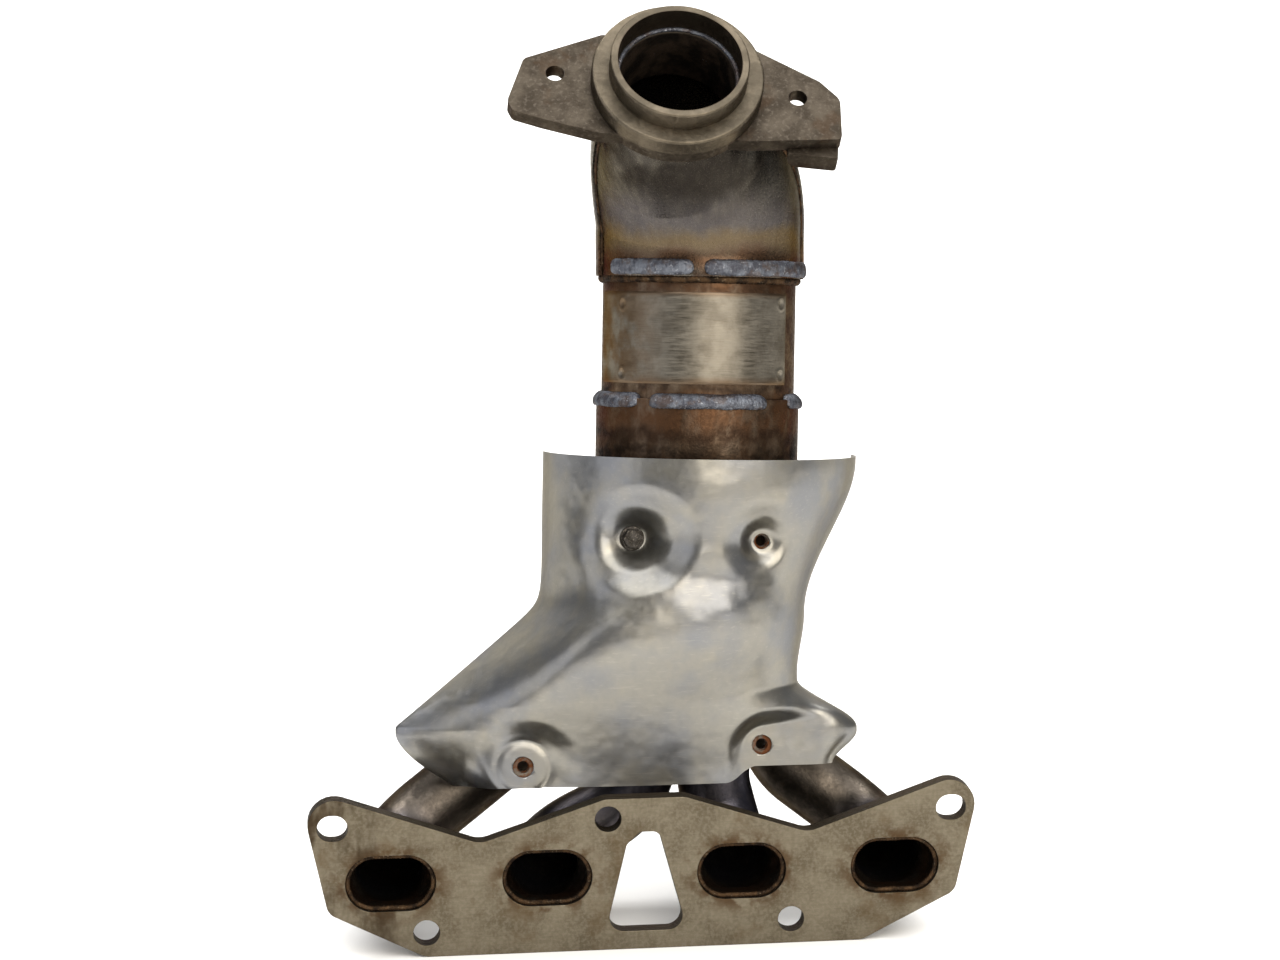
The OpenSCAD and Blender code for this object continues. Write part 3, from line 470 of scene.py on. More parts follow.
def pressed_elbow(look):
    # Deep-drawn stainless: satin with faint draw streaks, straw and violet bands above the lower weld,
    # soot and a painted shadow under the outlet flange.
    mat, tree, shader, here = surface("satin_pressed_stainless", 0.95, 0.34)
    can = local(tree, here, CAN)
    outlet = local(tree, here, OUTLET)
    s = add(tree, "ShaderNodeSeparateXYZ", None, {0: can})
    wander = add(tree, "ShaderNodeTexNoise", None, {"Vector": can, "Scale": 40.0, "Detail": 3.0})
    shift = add(tree, "ShaderNodeMapRange", None,
                {"Value": wander.outputs["Fac"], "To Min": -0.012, "To Max": 0.012})
    up = add(tree, "ShaderNodeMath", {"operation": "ADD"}, {0: s.outputs["Z"], 1: shift})
    base = cover(tree, look.elbow, "#4B4741", blotches(tree, can, 34, 0.30, 0.70, detail=2))
    streak = blotches(tree, can, 5, 0.40, 0.66, stretch=(1, 1, 0.16))
    base = cover(tree, base, "#7B7466", streak, 0.28)
    base = cover(tree, base, "#3B3840", near(tree, up, 0.104, 0.020), 0.5)
    base = cover(tree, base, "#5F4C2C", near(tree, up, 0.091, 0.012), 0.55)
    base = cover(tree, base, look.tint, near(tree, up, 0.079, 0.013), 0.85)
    base = cover(tree, base, "#39261A",
                 where(tree, near(tree, up, 0.070, 0.007), blotches(tree, can, 10, 0.35, 0.6)), 0.8)
    o = add(tree, "ShaderNodeSeparateXYZ", None, {0: outlet})
    # darker just under the outlet flange: soot and a painted shadow
    under = add(tree, "ShaderNodeMapRange", {"interpolation_type": "SMOOTHSTEP"},
                {"Value": o.outputs["Z"], "From Min": -0.060, "From Max": -0.036})
    soot_and_shadow = where(tree, under, blotches(tree, can, 30, 0.22, 0.62, detail=2))
    base = cover(tree, base, look.soot, soot_and_shadow, 0.85)
    tree.links.new(base, shader.inputs["Base Color"])
    worn(tree, shader, can, 1.8, 0.22, 0.34, 0.03)
    return mat


def aluminised_sheet(look):
    # Aluminised steel sheet, pressed: pale satin coat with a soft mottle and fine rubbing marks.
    mat, tree, shader, here = surface("aluminised_steel_sheet", 0.95, 0.36)
    base = cover(tree, look.sheet, "#7D7E80", blotches(tree, here, 48, 0.36, 0.66, detail=3))
    warm = blotches(tree, here, 34, 0.50, 0.72, detail=3)
    base = cover(tree, base, "#928D80", warm, 0.6)
    mottle = blotches(tree, here, 3.2, 0.38, 0.66, detail=6)
    base = cover(tree, base, "#757576", mottle, 0.12)
    rubbed = blotches(tree, here, 1.2, 0.56, 0.72, detail=3, stretch=(0.12, 1, 1))
    base = cover(tree, base, "#A8A499", rubbed, 0.22)
    tree.links.new(base, shader.inputs["Base Color"])
    roughened(tree, shader, mottle, 0.28, 0.34)
    # the coat's own grain is 0.2 mm; drawn at 1 mm
    grain = blotches(tree, here, 1.0, 0.3, 0.7, detail=4)
    first = grain_bump(tree, shader, grain, 0.007)
    grain_bump(tree, shader, blotches(tree, here, 26, 0.3, 0.7, detail=2), 0.30, under=first)
    return mat


def weld_metal(look):
    # Cooled filler metal: blue-grey skin, brown slag in the hollows, small pale patches painted in as
    # glints.
    mat, tree, shader, here = surface("rippled_weld_metal", 0.9, 0.45)
    # the last layer's small pale patches are painted highlights laid into the colour
    painted(tree, shader, here, look.bead, (
        ("#4A4B52", 5, 0.36, 0.62, 1, 5), ("#54402E", 9, 0.48, 0.62, 0.45, 5),
        ("#A4A6AB", 1.5, 0.58, 0.70, 0.6, 3)))
    worn(tree, shader, here, 0.9, 0.30, 0.55, 0.14)
    return mat


def port_weld_metal(look):
    # The same filler inside the ports, browned by the exhaust; on the elbow's root weld its dark brown
    # also stands in for painted shade under the elbow's beads.
    mat, tree, shader, here = surface("browned_weld_metal", 0.8, 0.55)
    painted(tree, shader, here, "#4A3827", (
        ("#221A14", 6, 0.38, 0.62, 1, 5), ("#8A7860", 1.5, 0.58, 0.70, 0.5)))
    worn(tree, shader, here, 0.9, 0.42, 0.65, 0.14)
    return mat


def plate_tag(look):
    # Thin stainless tag, brushed along its length, browned and painted darker as shade towards its left
    # edge.
    mat, tree, shader, here = surface("brushed_stainless_tag", 0.95, 0.36)
    can = local(tree, here, CAN)
    split = add(tree, "ShaderNodeSeparateXYZ", None, {0: can})
    base = cover(tree, "#777166", "#5E584E", blotches(tree, can, 14, 0.36, 0.64))
    brush = blotches(tree, can, 0.8, 0.3, 0.7, detail=3, stretch=(0.08, 0.08, 1))
    base = cover(tree, base, "#8E887D", brush, 0.25)
    # towards the left edge: brown tint and painted shade
    left = add(tree, "ShaderNodeMapRange", {"interpolation_type": "SMOOTHSTEP"},
               {"Value": split.outputs["X"], "From Min": -0.020, "From Max": -0.056})
    base = cover(tree, base, "#5E472E", where(tree, left, blotches(tree, can, 16, 0.32, 0.56)), 0.75)
    for at, reach in ((0.0085, 0.006), (0.061, 0.004)):
        base = cover(tree, base, "#5A4531", near(tree, split.outputs["Z"], at, reach), 0.7)
    tree.links.new(base, shader.inputs["Base Color"])
    roughened(tree, shader, brush, 0.30, 0.46)
    grain_bump(tree, shader, brush, 0.02)
    return mat


def turned_flange(look):
    # Forged flange: brown-grey skin on the ears, bright turned hub and spigot with lathe rings.
    mat, tree, shader, here = surface("turned_and_scaled_forging", 0.9, 0.45)
    out = local(tree, here, OUTLET)
    split = add(tree, "ShaderNodeSeparateXYZ", None, {0: out})
    flat = add(tree, "ShaderNodeVectorMath", {"operation": "MULTIPLY"}, {0: out, 1: (1, 1, 0)})
    radius = add(tree, "ShaderNodeVectorMath", {"operation": "LENGTH"}, {0: flat}).outputs["Value"]
    base = cover(tree, "#4A433A", "#352F28", blotches(tree, out, 17, 0.36, 0.64))
    base = cover(tree, base, "#615950", blotches(tree, out, 2.4, 0.50, 0.68, detail=6), 0.40)
    base = cover(tree, base, "#3B2D21", blotches(tree, out, 30, 0.54, 0.66), 0.5)
    turned = add(tree, "ShaderNodeMapRange", {"interpolation_type": "SMOOTHSTEP"},
                 {"Value": radius, "From Min": 0.0488, "From Max": 0.0478})
    raised = add(tree, "ShaderNodeMapRange", None,
                 {"Value": split.outputs["Z"], "From Min": 0.0006, "From Max": 0.0012})
    bright = where(tree, turned, raised)
    gold = cover(tree, "#6A6153", "#514A3F", blotches(tree, out, 20, 0.36, 0.62))
    base = cover(tree, base, gold, bright)
    inside = add(tree, "ShaderNodeMapRange", None,
                 {"Value": radius, "From Min": 0.0352, "From Max": 0.0346})
    base = cover(tree, base, "#40372E", inside, 0.7)
    tree.links.new(base, shader.inputs["Base Color"])
    # tool feed is about 0.25 mm; drawn at 0.6 mm
    turns = add(tree, "ShaderNodeMath", {"operation": "MULTIPLY"}, {0: radius, 1: 2 * math.pi / 0.0006})
    rings = add(tree, "ShaderNodeMath", {"operation": "SINE"}, {0: turns})
    rough = blotches(tree, out, 2.0, 0.34, 0.66, detail=6)
    roughened(tree, shader, rough, 0.34, 0.54)
    cut = where(tree, add(tree, "ShaderNodeMapRange", None,
                          {"Value": rings, "From Min": -1.0, "To Min": 0.0, "To Max": 0.25}), bright)
    marks = add(tree, "ShaderNodeMath", {"operation": "ADD"}, {0: cut, 1: rough})
    grain_bump(tree, shader, marks, 0.05)
    return mat


def sooted_bore(look):
    # Inside of the outlet tube: dry black soot over brown oxide.
    mat, tree, shader, here = surface("sooted_stainless_bore", 0.5, 0.7)
    base = cover(tree, look.soot, "#3A3028", blotches(tree, here, 12, 0.42, 0.66))
    out = add(tree, "ShaderNodeSeparateXYZ", None, {0: local(tree, here, OUTLET)})
    lip = add(tree, "ShaderNodeMapRange", None,
              {"Value": out.outputs["Z"], "From Min": 0.0052, "From Max": 0.0072})
    base = cover(tree, base, "#7A7064", lip)
    tree.links.new(base, shader.inputs["Base Color"])
    worn(tree, shader, here, 1.5, 0.5, 0.75, 0.08)
    return mat


def rusted_steel(look, name="thinly_rusted_mild_steel", bare="#6A6259"):
    # Bare mild steel stamping: grey mill skin under thin orange-brown rust.
    mat, tree, shader, here = surface(name, 0.7, 0.5)
    base = cover(tree, bare, "#463F38", blotches(tree, here, 7, 0.36, 0.64))
    rust = blotches(tree, here, 5, 0.40, 0.58, detail=6)
    base = cover(tree, base, look.rust, rust, 0.8)
    tree.links.new(base, shader.inputs["Base Color"])
    roughened(tree, shader, rust, 0.42, 0.8)
    grain_bump(tree, shader, blotches(tree, here, 0.9, 0.35, 0.65, detail=5), 0.10)
    return mat


def phosphated_steel(look):
    # Phosphated bolt: near-black, with bright wear on its corners.
    mat, tree, shader, here = surface("phosphated_steel_bolt", 0.8, 0.42)
    painted(tree, shader, here, "#3E3B38", (
        ("#26231F", 3, 0.36, 0.64, 1), ("#7C756B", 1.1, 0.54, 0.70, 0.6)))
    worn(tree, shader, here, 0.7, 0.30, 0.55, 0.05)
    return mat


def cell_ceramic(look):
    # Extruded cordierite: square cells 1.27 mm apart with thin pale walls, dusted with soot.
    mat, tree, shader, here = surface("cordierite_honeycomb", 0.0, 0.85)
    can = local(tree, here, CAN)
    split = add(tree, "ShaderNodeSeparateXYZ", None, {0: can})
    walls = None
    for axis in ("X", "Y"):
        cell = add(tree, "ShaderNodeMath", {"operation": "PINGPONG"},
                   {0: split.outputs[axis], 1: 0.00127 / 2})
        wall = add(tree, "ShaderNodeMapRange", None,
                   {"Value": cell, "From Min": 0.00006, "From Max": 0.00016,
                    "To Min": 1.0, "To Max": 0.0})
        walls = wall if walls is None else add(tree, "ShaderNodeMath", {"operation": "MAXIMUM"},
                                               {0: walls, 1: wall})
    base = cover(tree, "#1E1A16", "#B8AC95", walls)
    base = cover(tree, base, look.soot, blotches(tree, can, 14, 0.4, 0.62), 0.5)
    tree.links.new(base, shader.inputs["Base Color"])
    grain_bump(tree, shader, walls, 0.4)
    return mat


def fibre_mat(look):
    # Needled ceramic fibre: matt off-white with loose strands and brown scorching.
    mat, tree, shader, here = surface("needled_ceramic_fibre", 0.0, 0.95)
    strands = blotches(tree, here, 0.8, 0.35, 0.65, detail=6, stretch=(0.3, 0.3, 1))
    base = cover(tree, "#CFC9BB", "#A49A86", strands)
    base = cover(tree, base, "#6E5A44", blotches(tree, here, 10, 0.5, 0.7), 0.5)
    tree.links.new(base, shader.inputs["Base Color"])
    grain_bump(tree, shader, strands, 0.25)
    return mat


def knitted_wire(look):
    # Knitted stainless wire rope: crossed loops about 1 mm apart.
    mat, tree, shader, here = surface("knitted_stainless_wire", 0.9, 0.4)
    loops = add(tree, "ShaderNodeTexVoronoi", {"feature": "F1"}, {"Vector": here, "Scale": 1000.0})
    wire = add(tree, "ShaderNodeMapRange", None,
               {"Value": loops.outputs["Distance"], "From Min": 0.2, "From Max": 0.6})
    base = cover(tree, "#8F8A80", "#2B2724", wire)
    tree.links.new(base, shader.inputs["Base Color"])
    grain_bump(tree, shader, wire, 0.3)
    return mat


def studio_paint(look):
    # Rolled matt studio paint with the faintest stipple.
    mat, tree, shader, here = surface("matt_studio_paint", 0.0, 0.9, specular=0.2)
    base = cover(tree, look.floor, "#EDECEA", blotches(tree, here, 400, 0.4, 0.6, detail=2))
    tree.links.new(base, shader.inputs["Base Color"])
    return mat


LOOKS = {
    "plate": milled_plate, "tube": drawn_tube, "shell": heated_shell, "elbow": pressed_elbow,
    "sheet": aluminised_sheet, "bead": weld_metal, "port_bead": port_weld_metal, "tag": plate_tag,
    "forging": turned_flange, "bore": sooted_bore, "rusted": rusted_steel, "bolt": phosphated_steel,
    "ceramic": cell_ceramic, "fibre": fibre_mat, "wire": knitted_wire, "paint": studio_paint,
}
_made = {}


def finish_named(kind):
    """The material of that kind, made once."""
    if kind not in _made:
        _made[kind] = LOOKS[kind](bpy.context.scene.manifold_colours)
    return _made[kind]


def coat(nodes, kind):
    """Gives a material to parts that keep their own shape."""
    for name in nodes:
        ob = frame["nodes"][name]
        ob.data.materials.clear()
        ob.data.materials.append(finish_named(kind))


# ================= shapes that follow a rule =================

def lathe(profile, matrix, around=192, q0=0.0, q1=360.0):
    """A closed section of (radius, height) turned about a local z axis; angles run from the front."""
    full = q1 - q0 >= 360
    q = np.radians(np.linspace(q0, q1, around, endpoint=not full))[:, None]
    r, z = np.array(profile, float).T
    p = place(matrix, r * np.sin(q), -r * np.cos(q), z + 0 * q)
    rows, cols = len(q), len(r)
    faces = grid_quads(rows, cols, wrap_rows=full, wrap_cols=True)
    if not full:
        faces += [list(range(cols)), list(range((rows - 1) * cols, rows * cols))[::-1]]
    return p.reshape(-1, 3), faces


def rounded_section(r0, r1, z0, z1, edge, steps=4):
    """A rectangle of radius and height with its four corners rounded."""
    out = []
    for cr, cz, start in ((r1 - edge, z1 - edge, 0), (r0 + edge, z1 - edge, 90),
                          (r0 + edge, z0 + edge, 180), (r1 - edge, z0 + edge, 270)):
        for k in range(steps + 1):
            a = math.radians(start + 90 * k / steps)
            out.append((cr + edge * math.cos(a), cz + edge * math.sin(a)))
    return out


def elbow_line(t):
    """Centre line of the elbow and its sideways directions: a short straight, a bend, a straight."""
    lb = math.radians(LEAN_BACK)
    start = place(CAN, 0, 0, ELBOW_S)
    stop = place(OUTLET, 0, 0, -OUTLET_T - ELBOW_GAP)
    turn = math.radians(OUTLET_TILT) + lb
    arc = ELBOW_BEND * turn

    def bent(first, q):
        """Depth and height after so much of the first straight and so much of the bend."""
        return (start[1] + first * math.sin(lb) + ELBOW_BEND * (np.cos(lb - q) - math.cos(lb)),
                start[2] + first * math.cos(lb) + ELBOW_BEND * (math.sin(lb) - np.sin(lb - q)))

    end_y, end_z = bent(ELBOW_STRAIGHT, turn)
    leg = math.hypot(stop[1] - end_y, stop[2] - end_z)
    length = elbow_line.length = ELBOW_STRAIGHT + arc + leg

    def at(t):
        first = np.clip(t, 0, ELBOW_STRAIGHT)
        y, z = bent(first, np.clip((t - ELBOW_STRAIGHT) / ELBOW_BEND, 0, turn))
        k = np.clip((t - ELBOW_STRAIGHT - arc) / leg, 0, 1)
        side = np.array(CAN)[0, 2]
        x1 = start[0] + side * ELBOW_STRAIGHT
        x = np.where(t < ELBOW_STRAIGHT, start[0] + side * t,
                     x1 + (stop[0] - x1) * ramp(t, ELBOW_LEAN, length))
        return np.stack([x, y + k * (stop[1] - end_y), z + k * (stop[2] - end_z)], -1)

    centre = at(t)
    along = unit(at(np.minimum(length, t + 0.5)) - at(np.maximum(0, t - 0.5)))
    ex = unit(np.array([1.0, 0, 0]) - along[..., :1] * along)
    return centre, ex, np.cross(along, ex)


def elbow_skin(t, q, d):
    """Points on the elbow: t along it, q around it (0 right, 90 rear, 180 left, 270 front), in by d."""
    t, q, d = np.broadcast_arrays(np.asarray(t, float), np.asarray(q, float), np.asarray(d, float))
    centre, ex, ey = elbow_line(t)
    length = elbow_line.length
    fade = np.clip((length - t) / (length - ELBOW_FULL), 0, 1)
    foot = ELBOW_FOOT + (ELBOW_R - ELBOW_FOOT) * np.sqrt(np.clip(1 - (1 - t / 5) ** 2, 0, 1))
    tip = ELBOW_TIP + (ELBOW_R - ELBOW_TIP) * np.sin(np.pi / 2 * fade)
    r = np.where(t < 5, foot, np.where(t < ELBOW_FULL, ELBOW_R, tip))
    r = (r - d)[..., None]
    a = np.radians(q)[..., None]
    return centre + r * (np.cos(a) * ex + np.sin(a) * ey)


def shield_raw(u, v):
    """Mid-surface of the heat shield in the converter's frame: u across from left to right, v down."""
    q = np.pi * u
    sl, sr = SHIELD_TOP - DROP_LEFT * v, SHIELD_TOP - DROP_RIGHT * v
    w = -122 - sl
    line = -88.4 - 1.21 * 0.5 * (w + np.sqrt(w * w + 64))
    xl = np.maximum(line, -174 + 30 * np.maximum(0, (-sl - 196) / 27) ** 1.6)
    xr = (93.5 - 31 * ramp(sr, -35, -125) - 4 * ramp(sr, -125, -165)
          + 33 * ramp(sr, -167, -196) - 15 * ramp(sr, -198, -219))
    n = np.where(u < 0.5, 2.0, 2.1 + 0.7 * ramp(v, 0.35, 1))
    cx, sy = -spow(np.cos(q), 2 / n), spow(np.sin(q), 2 / n)
    fold = 2 * (np.maximum(-104, -62 + 0.67 * (sl + 115)) - xl) / (xr - xl)
    slope = 0.8 * ramp(sl, -95, -150)
    sy = np.where(u < 0.5, sy * (1 - slope) + slope * soft((1 + cx) / fold) / soft(1 / fold), sy)
    x = (xl + xr) / 2 + (xr - xl) / 2 * cx
    k = (cx + 1) / 2
    s = sl + (sr - sl) * k + 9 * ramp(x, 14, 32) * v ** 3
    left = 8 - 13 * ramp(sl, -60, -130) - 16 * ramp(sl, -130, -200)
    right = 8 - 13 * ramp(sr, -60, -130) - 18 * ramp(sr, -150, -200)
    edge = left + (right - left) * k
    front = -84 + 4 * ramp(s, -45, -85) - 2 * ramp(s, -98, -122) + 34 * ramp(s, -125, -222)
    y = edge + (front - edge) * sy
    y = y + shield_forms(x, s, y)
    return x, y, s


def soft(r):
    """A straight rise that turns smoothly level at 1."""
    return 0.5 * (r + np.sqrt(1.15) - np.sqrt((1 - r) ** 2 + 0.15))


def oval(x, s, c, rx, rs):
    return np.hypot((x - c[0]) / rx, (s - c[2]) / rs)


def cup(x, s, c, rx, rs, core):
    """A shallow dish with a deeper well in it: 1 on the flat seat, 0 outside."""
    r = oval(x, s, c, rx, rs)
    return 0.35 * (1 - ramp(r, 0.45, 1)) + 0.65 * (1 - ramp(r, core, 0.62))


def shield_forms(x, s, y):
    """The pressed cups, the round pad, the flat tab and the small creases between them."""
    a, b, pad, tab = CUPS
    w1 = cup(x, s, a, 38, 33, 0.2)
    w2 = cup(x, s, b, 27, 26, 0.22)
    w3 = 1 - ramp(oval(x, s, pad, 34, 30), 0.42, 1)
    across, up = x - tab[0], s - tab[2]
    reach = np.hypot(np.minimum(0, across), np.maximum(0, up - 0.14 * across))
    w4 = (1 - ramp(reach, 10.5, 23)) * (1 - 0.6 * ramp(x, 62, 90))
    dent = 1.8 * (1 - ramp(oval(x, s, (2, 0, -101), 46, 17), 0, 1))
    out = (a[1] - y) * w1 + (b[1] - y) * w2 + (pad[1] - y) * w3 + (tab[1] - y) * w4
    out = out + dent * (1 - w1) * (1 - w2)
    # press marks: a raised lip beside each cup, and short puckers under the dent
    calm = (1 - w1) * (1 - w2)
    lip = 1.6 * np.exp(-(((x + 76 + 0.35 * (s + 85)) / 6.5) ** 2 + ((s + 92) / 26) ** 2))
    lip += 1.5 * np.exp(-(((x - 57 - 0.25 * (s + 80)) / 6.0) ** 2 + ((s + 80) / 24) ** 2))
    fold = np.exp(-(((x - 2) / 34) ** 2 + ((s + 117) / 9) ** 2))
    pucker = 0.35 * fold * (np.sin(x / 4.1 + s / 9) + 0.6 * np.sin(x / 6.7 - s / 5 + 1.3))
    slow = 0.5 * np.sin(x / 27 + s / 41 + 0.6) * np.sin(s / 23 - x / 60)
    rim = 0.9 * np.exp(-((np.hypot(x - pad[0], s - pad[2]) - 15.5) / 2.2) ** 2)
    return out - (lip + pucker) * calm + rim + slow * (1 - w3) * (1 - w4) * calm


def shield_grid(cols, rows, t):
    """Points on the back and the front of the shield's sheet."""
    u, v = np.meshgrid(np.linspace(0, 1, cols), np.linspace(0, 1, rows))
    h = 0.003

    def at(u, v):
        return np.stack(shield_raw(u, v), -1)

    a = at(np.minimum(1, u + h), v) - at(np.maximum(0, u - h), v)
    b = at(u, np.minimum(1, v + h)) - at(u, np.maximum(0, v - h))
    back = at(u, v)
    front = back - t * unit(np.cross(a, b))
    return place(CAN, *np.moveaxis(back, -1, 0)), place(CAN, *np.moveaxis(front, -1, 0))


def runner_route(n):
    """Corner points and bend radii of a runner's centre line."""
    sx, sy = ((-1, 1), (-1, -1), (1, -1), (1, 1))[n]
    x = PORT_X[n]
    end = [place(CAN, sx * TUBE_OFF, sy * TUBE_OFF, s) for s in (CUP_LO - ENTRY, CUP_LO + 7)]
    mid = ([(x, 70, -PORT_DROP)], [(x, 55, -PORT_DROP), (0, 58, -8)], [(x, 55, -PORT_DROP), (46, 60, 5)],
           [(x, 75, -PORT_DROP), (95, 92, 2)])[n]
    bends = ([40, 45], [32, 40, 60], [32, 45, 60], [40, 45, 45])[n]
    return [np.array(p, float) for p in [(x, FLARE_START, -PORT_DROP), *mid, *end]], bends


def rounded_line(points, bends, step=2.0):
    """Points along straights joined by arcs, about a step apart."""
    out = [points[0]]
    for i, r in enumerate(bends, 1):
        a, b = unit(points[i] - points[i - 1]), unit(points[i + 1] - points[i])
        turn = math.acos(float(np.clip(a @ b, -1, 1)))
        cut = r * math.tan(turn / 2)
        start = points[i] - cut * a
        side = unit(b - (b @ a) * a)
        centre = start + r * side
        straight = np.linalg.norm(start - out[-1])
        k = max(1, int(straight / step))
        out += [out[-1] + (start - out[-1]) * f for f in np.linspace(0, 1, k + 1)[1:]]
        m = max(6, int(r * turn / step))
        out += [centre - r * math.cos(q) * side + r * math.sin(q) * a
                for q in np.linspace(0, turn, m + 1)[1:]]
    last = points[-1]
    k = max(1, int(np.linalg.norm(last - out[-1]) / step))
    base = out[-1]
    out += [base + (last - base) * f for f in np.linspace(0, 1, k + 1)[1:]]
    return np.array(out)


def obround(w, h, q):
    """Outline of a flat-sided oval, matched by angle to a circle."""
    c, s = np.cos(q), np.sin(q)
    half, r = (w - h) / 2, h / 2
    flat = r / np.maximum(np.abs(s), 1e-6)
    root = np.sqrt(np.maximum(0, r * r - (half * s) ** 2))
    end = half * np.abs(c) + root
    reach = np.where(flat * np.abs(c) <= half, flat, end)
    return reach * c, reach * s


def tube_grid(line, inset, around=96):
    """Skin of a runner along its line: an oval in the flange, flared to a round tube."""
    along = unit(np.gradient(line, axis=0))
    ex = np.array([1.0, 0, 0])
    q = np.linspace(0, 2 * np.pi, around, endpoint=False)
    w, h = PORT_W - 2 * TUBE_FIT - 2 * inset, PORT_H - 2 * TUBE_FIT - 2 * inset
    ox, oy = obround(w, h, q)
    r = RUNNER_R - inset
    rows = []
    for p, t in zip(line, along):
        ex = unit(ex - (ex @ t) * t)
        ez = np.cross(t, ex)
        k = float(ramp(p[1], FLARE_MID, FLARE_END)) if abs(t[1]) > 0.999 else 1.0
        x = ox + (r * np.cos(q) - ox) * k
        y = oy + (r * np.sin(q) - oy) * k
        rows.append(p + x[:, None] * ex + y[:, None] * ez)
    return np.array(rows)


def ring_line(matrix, r, z, q0=0.0, q1=360.0, centre=(0.0, 0.0), lean=45.0, step=0.7):
    """An arc about a local axis with its crown direction, lean degrees up from straight out."""
    full = q1 - q0 >= 360
    n = max(12, int(math.radians(q1 - q0) * r / step))
    q = np.radians(np.linspace(q0, q1, n, endpoint=not full))
    line = place(matrix, centre[0] + r * np.sin(q), centre[1] - r * np.cos(q), z)
    c, s = math.cos(math.radians(lean)), math.sin(math.radians(lean))
    turn = np.array(matrix)[:3, :3]
    crown = np.stack([c * np.sin(q), -c * np.cos(q), s + 0 * q], -1) @ turn.T
    return line, crown, full


def bead_mesh(name, lines, half, crown_h, root, around=14):
    """Smooth swept beads with the two attributes that the ripples follow: along, in metres, across."""
    verts, faces, along_all, across_all = [], [], [], []
    q = np.linspace(0, 2 * np.pi, around, endpoint=False)
    for line, crown, closed in lines:
        n = len(line)
        if closed:
            t = unit(np.roll(line, -1, 0) - np.roll(line, 1, 0))
        else:
            t = unit(np.gradient(line, axis=0))
        crown = unit(crown - np.sum(crown * t, -1, keepdims=True) * t)
        side = np.cross(t, crown)
        gap = np.linalg.norm(np.diff(line, axis=0), axis=1)
        run = np.concatenate([[0], np.cumsum(gap)])
        if closed:
            size = np.ones(n)
        else:
            edge = np.minimum(run, run[-1] - run) / (1.1 * half)
            size = 0.25 + 0.75 * np.sqrt(np.clip(1 - (1 - np.clip(edge, 0, 1)) ** 2, 0, 1))
        up = np.where(np.sin(q) > 0, crown_h, root) * np.sin(q)
        p = (line[:, None] + side[:, None] * (half * np.cos(q))[None, :, None] * size[:, None, None]
             + crown[:, None] * up[None, :, None] * size[:, None, None])
        first = sum(len(v) for v in verts)
        faces += grid_quads(n, around, wrap_rows=closed, wrap_cols=True, first=first)
        if not closed:
            faces += [list(range(first, first + around)),
                      list(range(first + (n - 1) * around, first + n * around))[::-1]]
        verts.append(p.reshape(-1, 3))
        along_all.append(np.repeat(run * MM, around))
        across_all.append(np.tile(np.cos(q), n))
    me = mesh_of(name, np.concatenate(verts), faces, 60)
    for label, values in (("along", np.concatenate(along_all)), ("across", np.concatenate(across_all))):
        me.attributes.new(label, "FLOAT", "POINT").data.foreach_set("value", values.astype(np.float32))
    return me


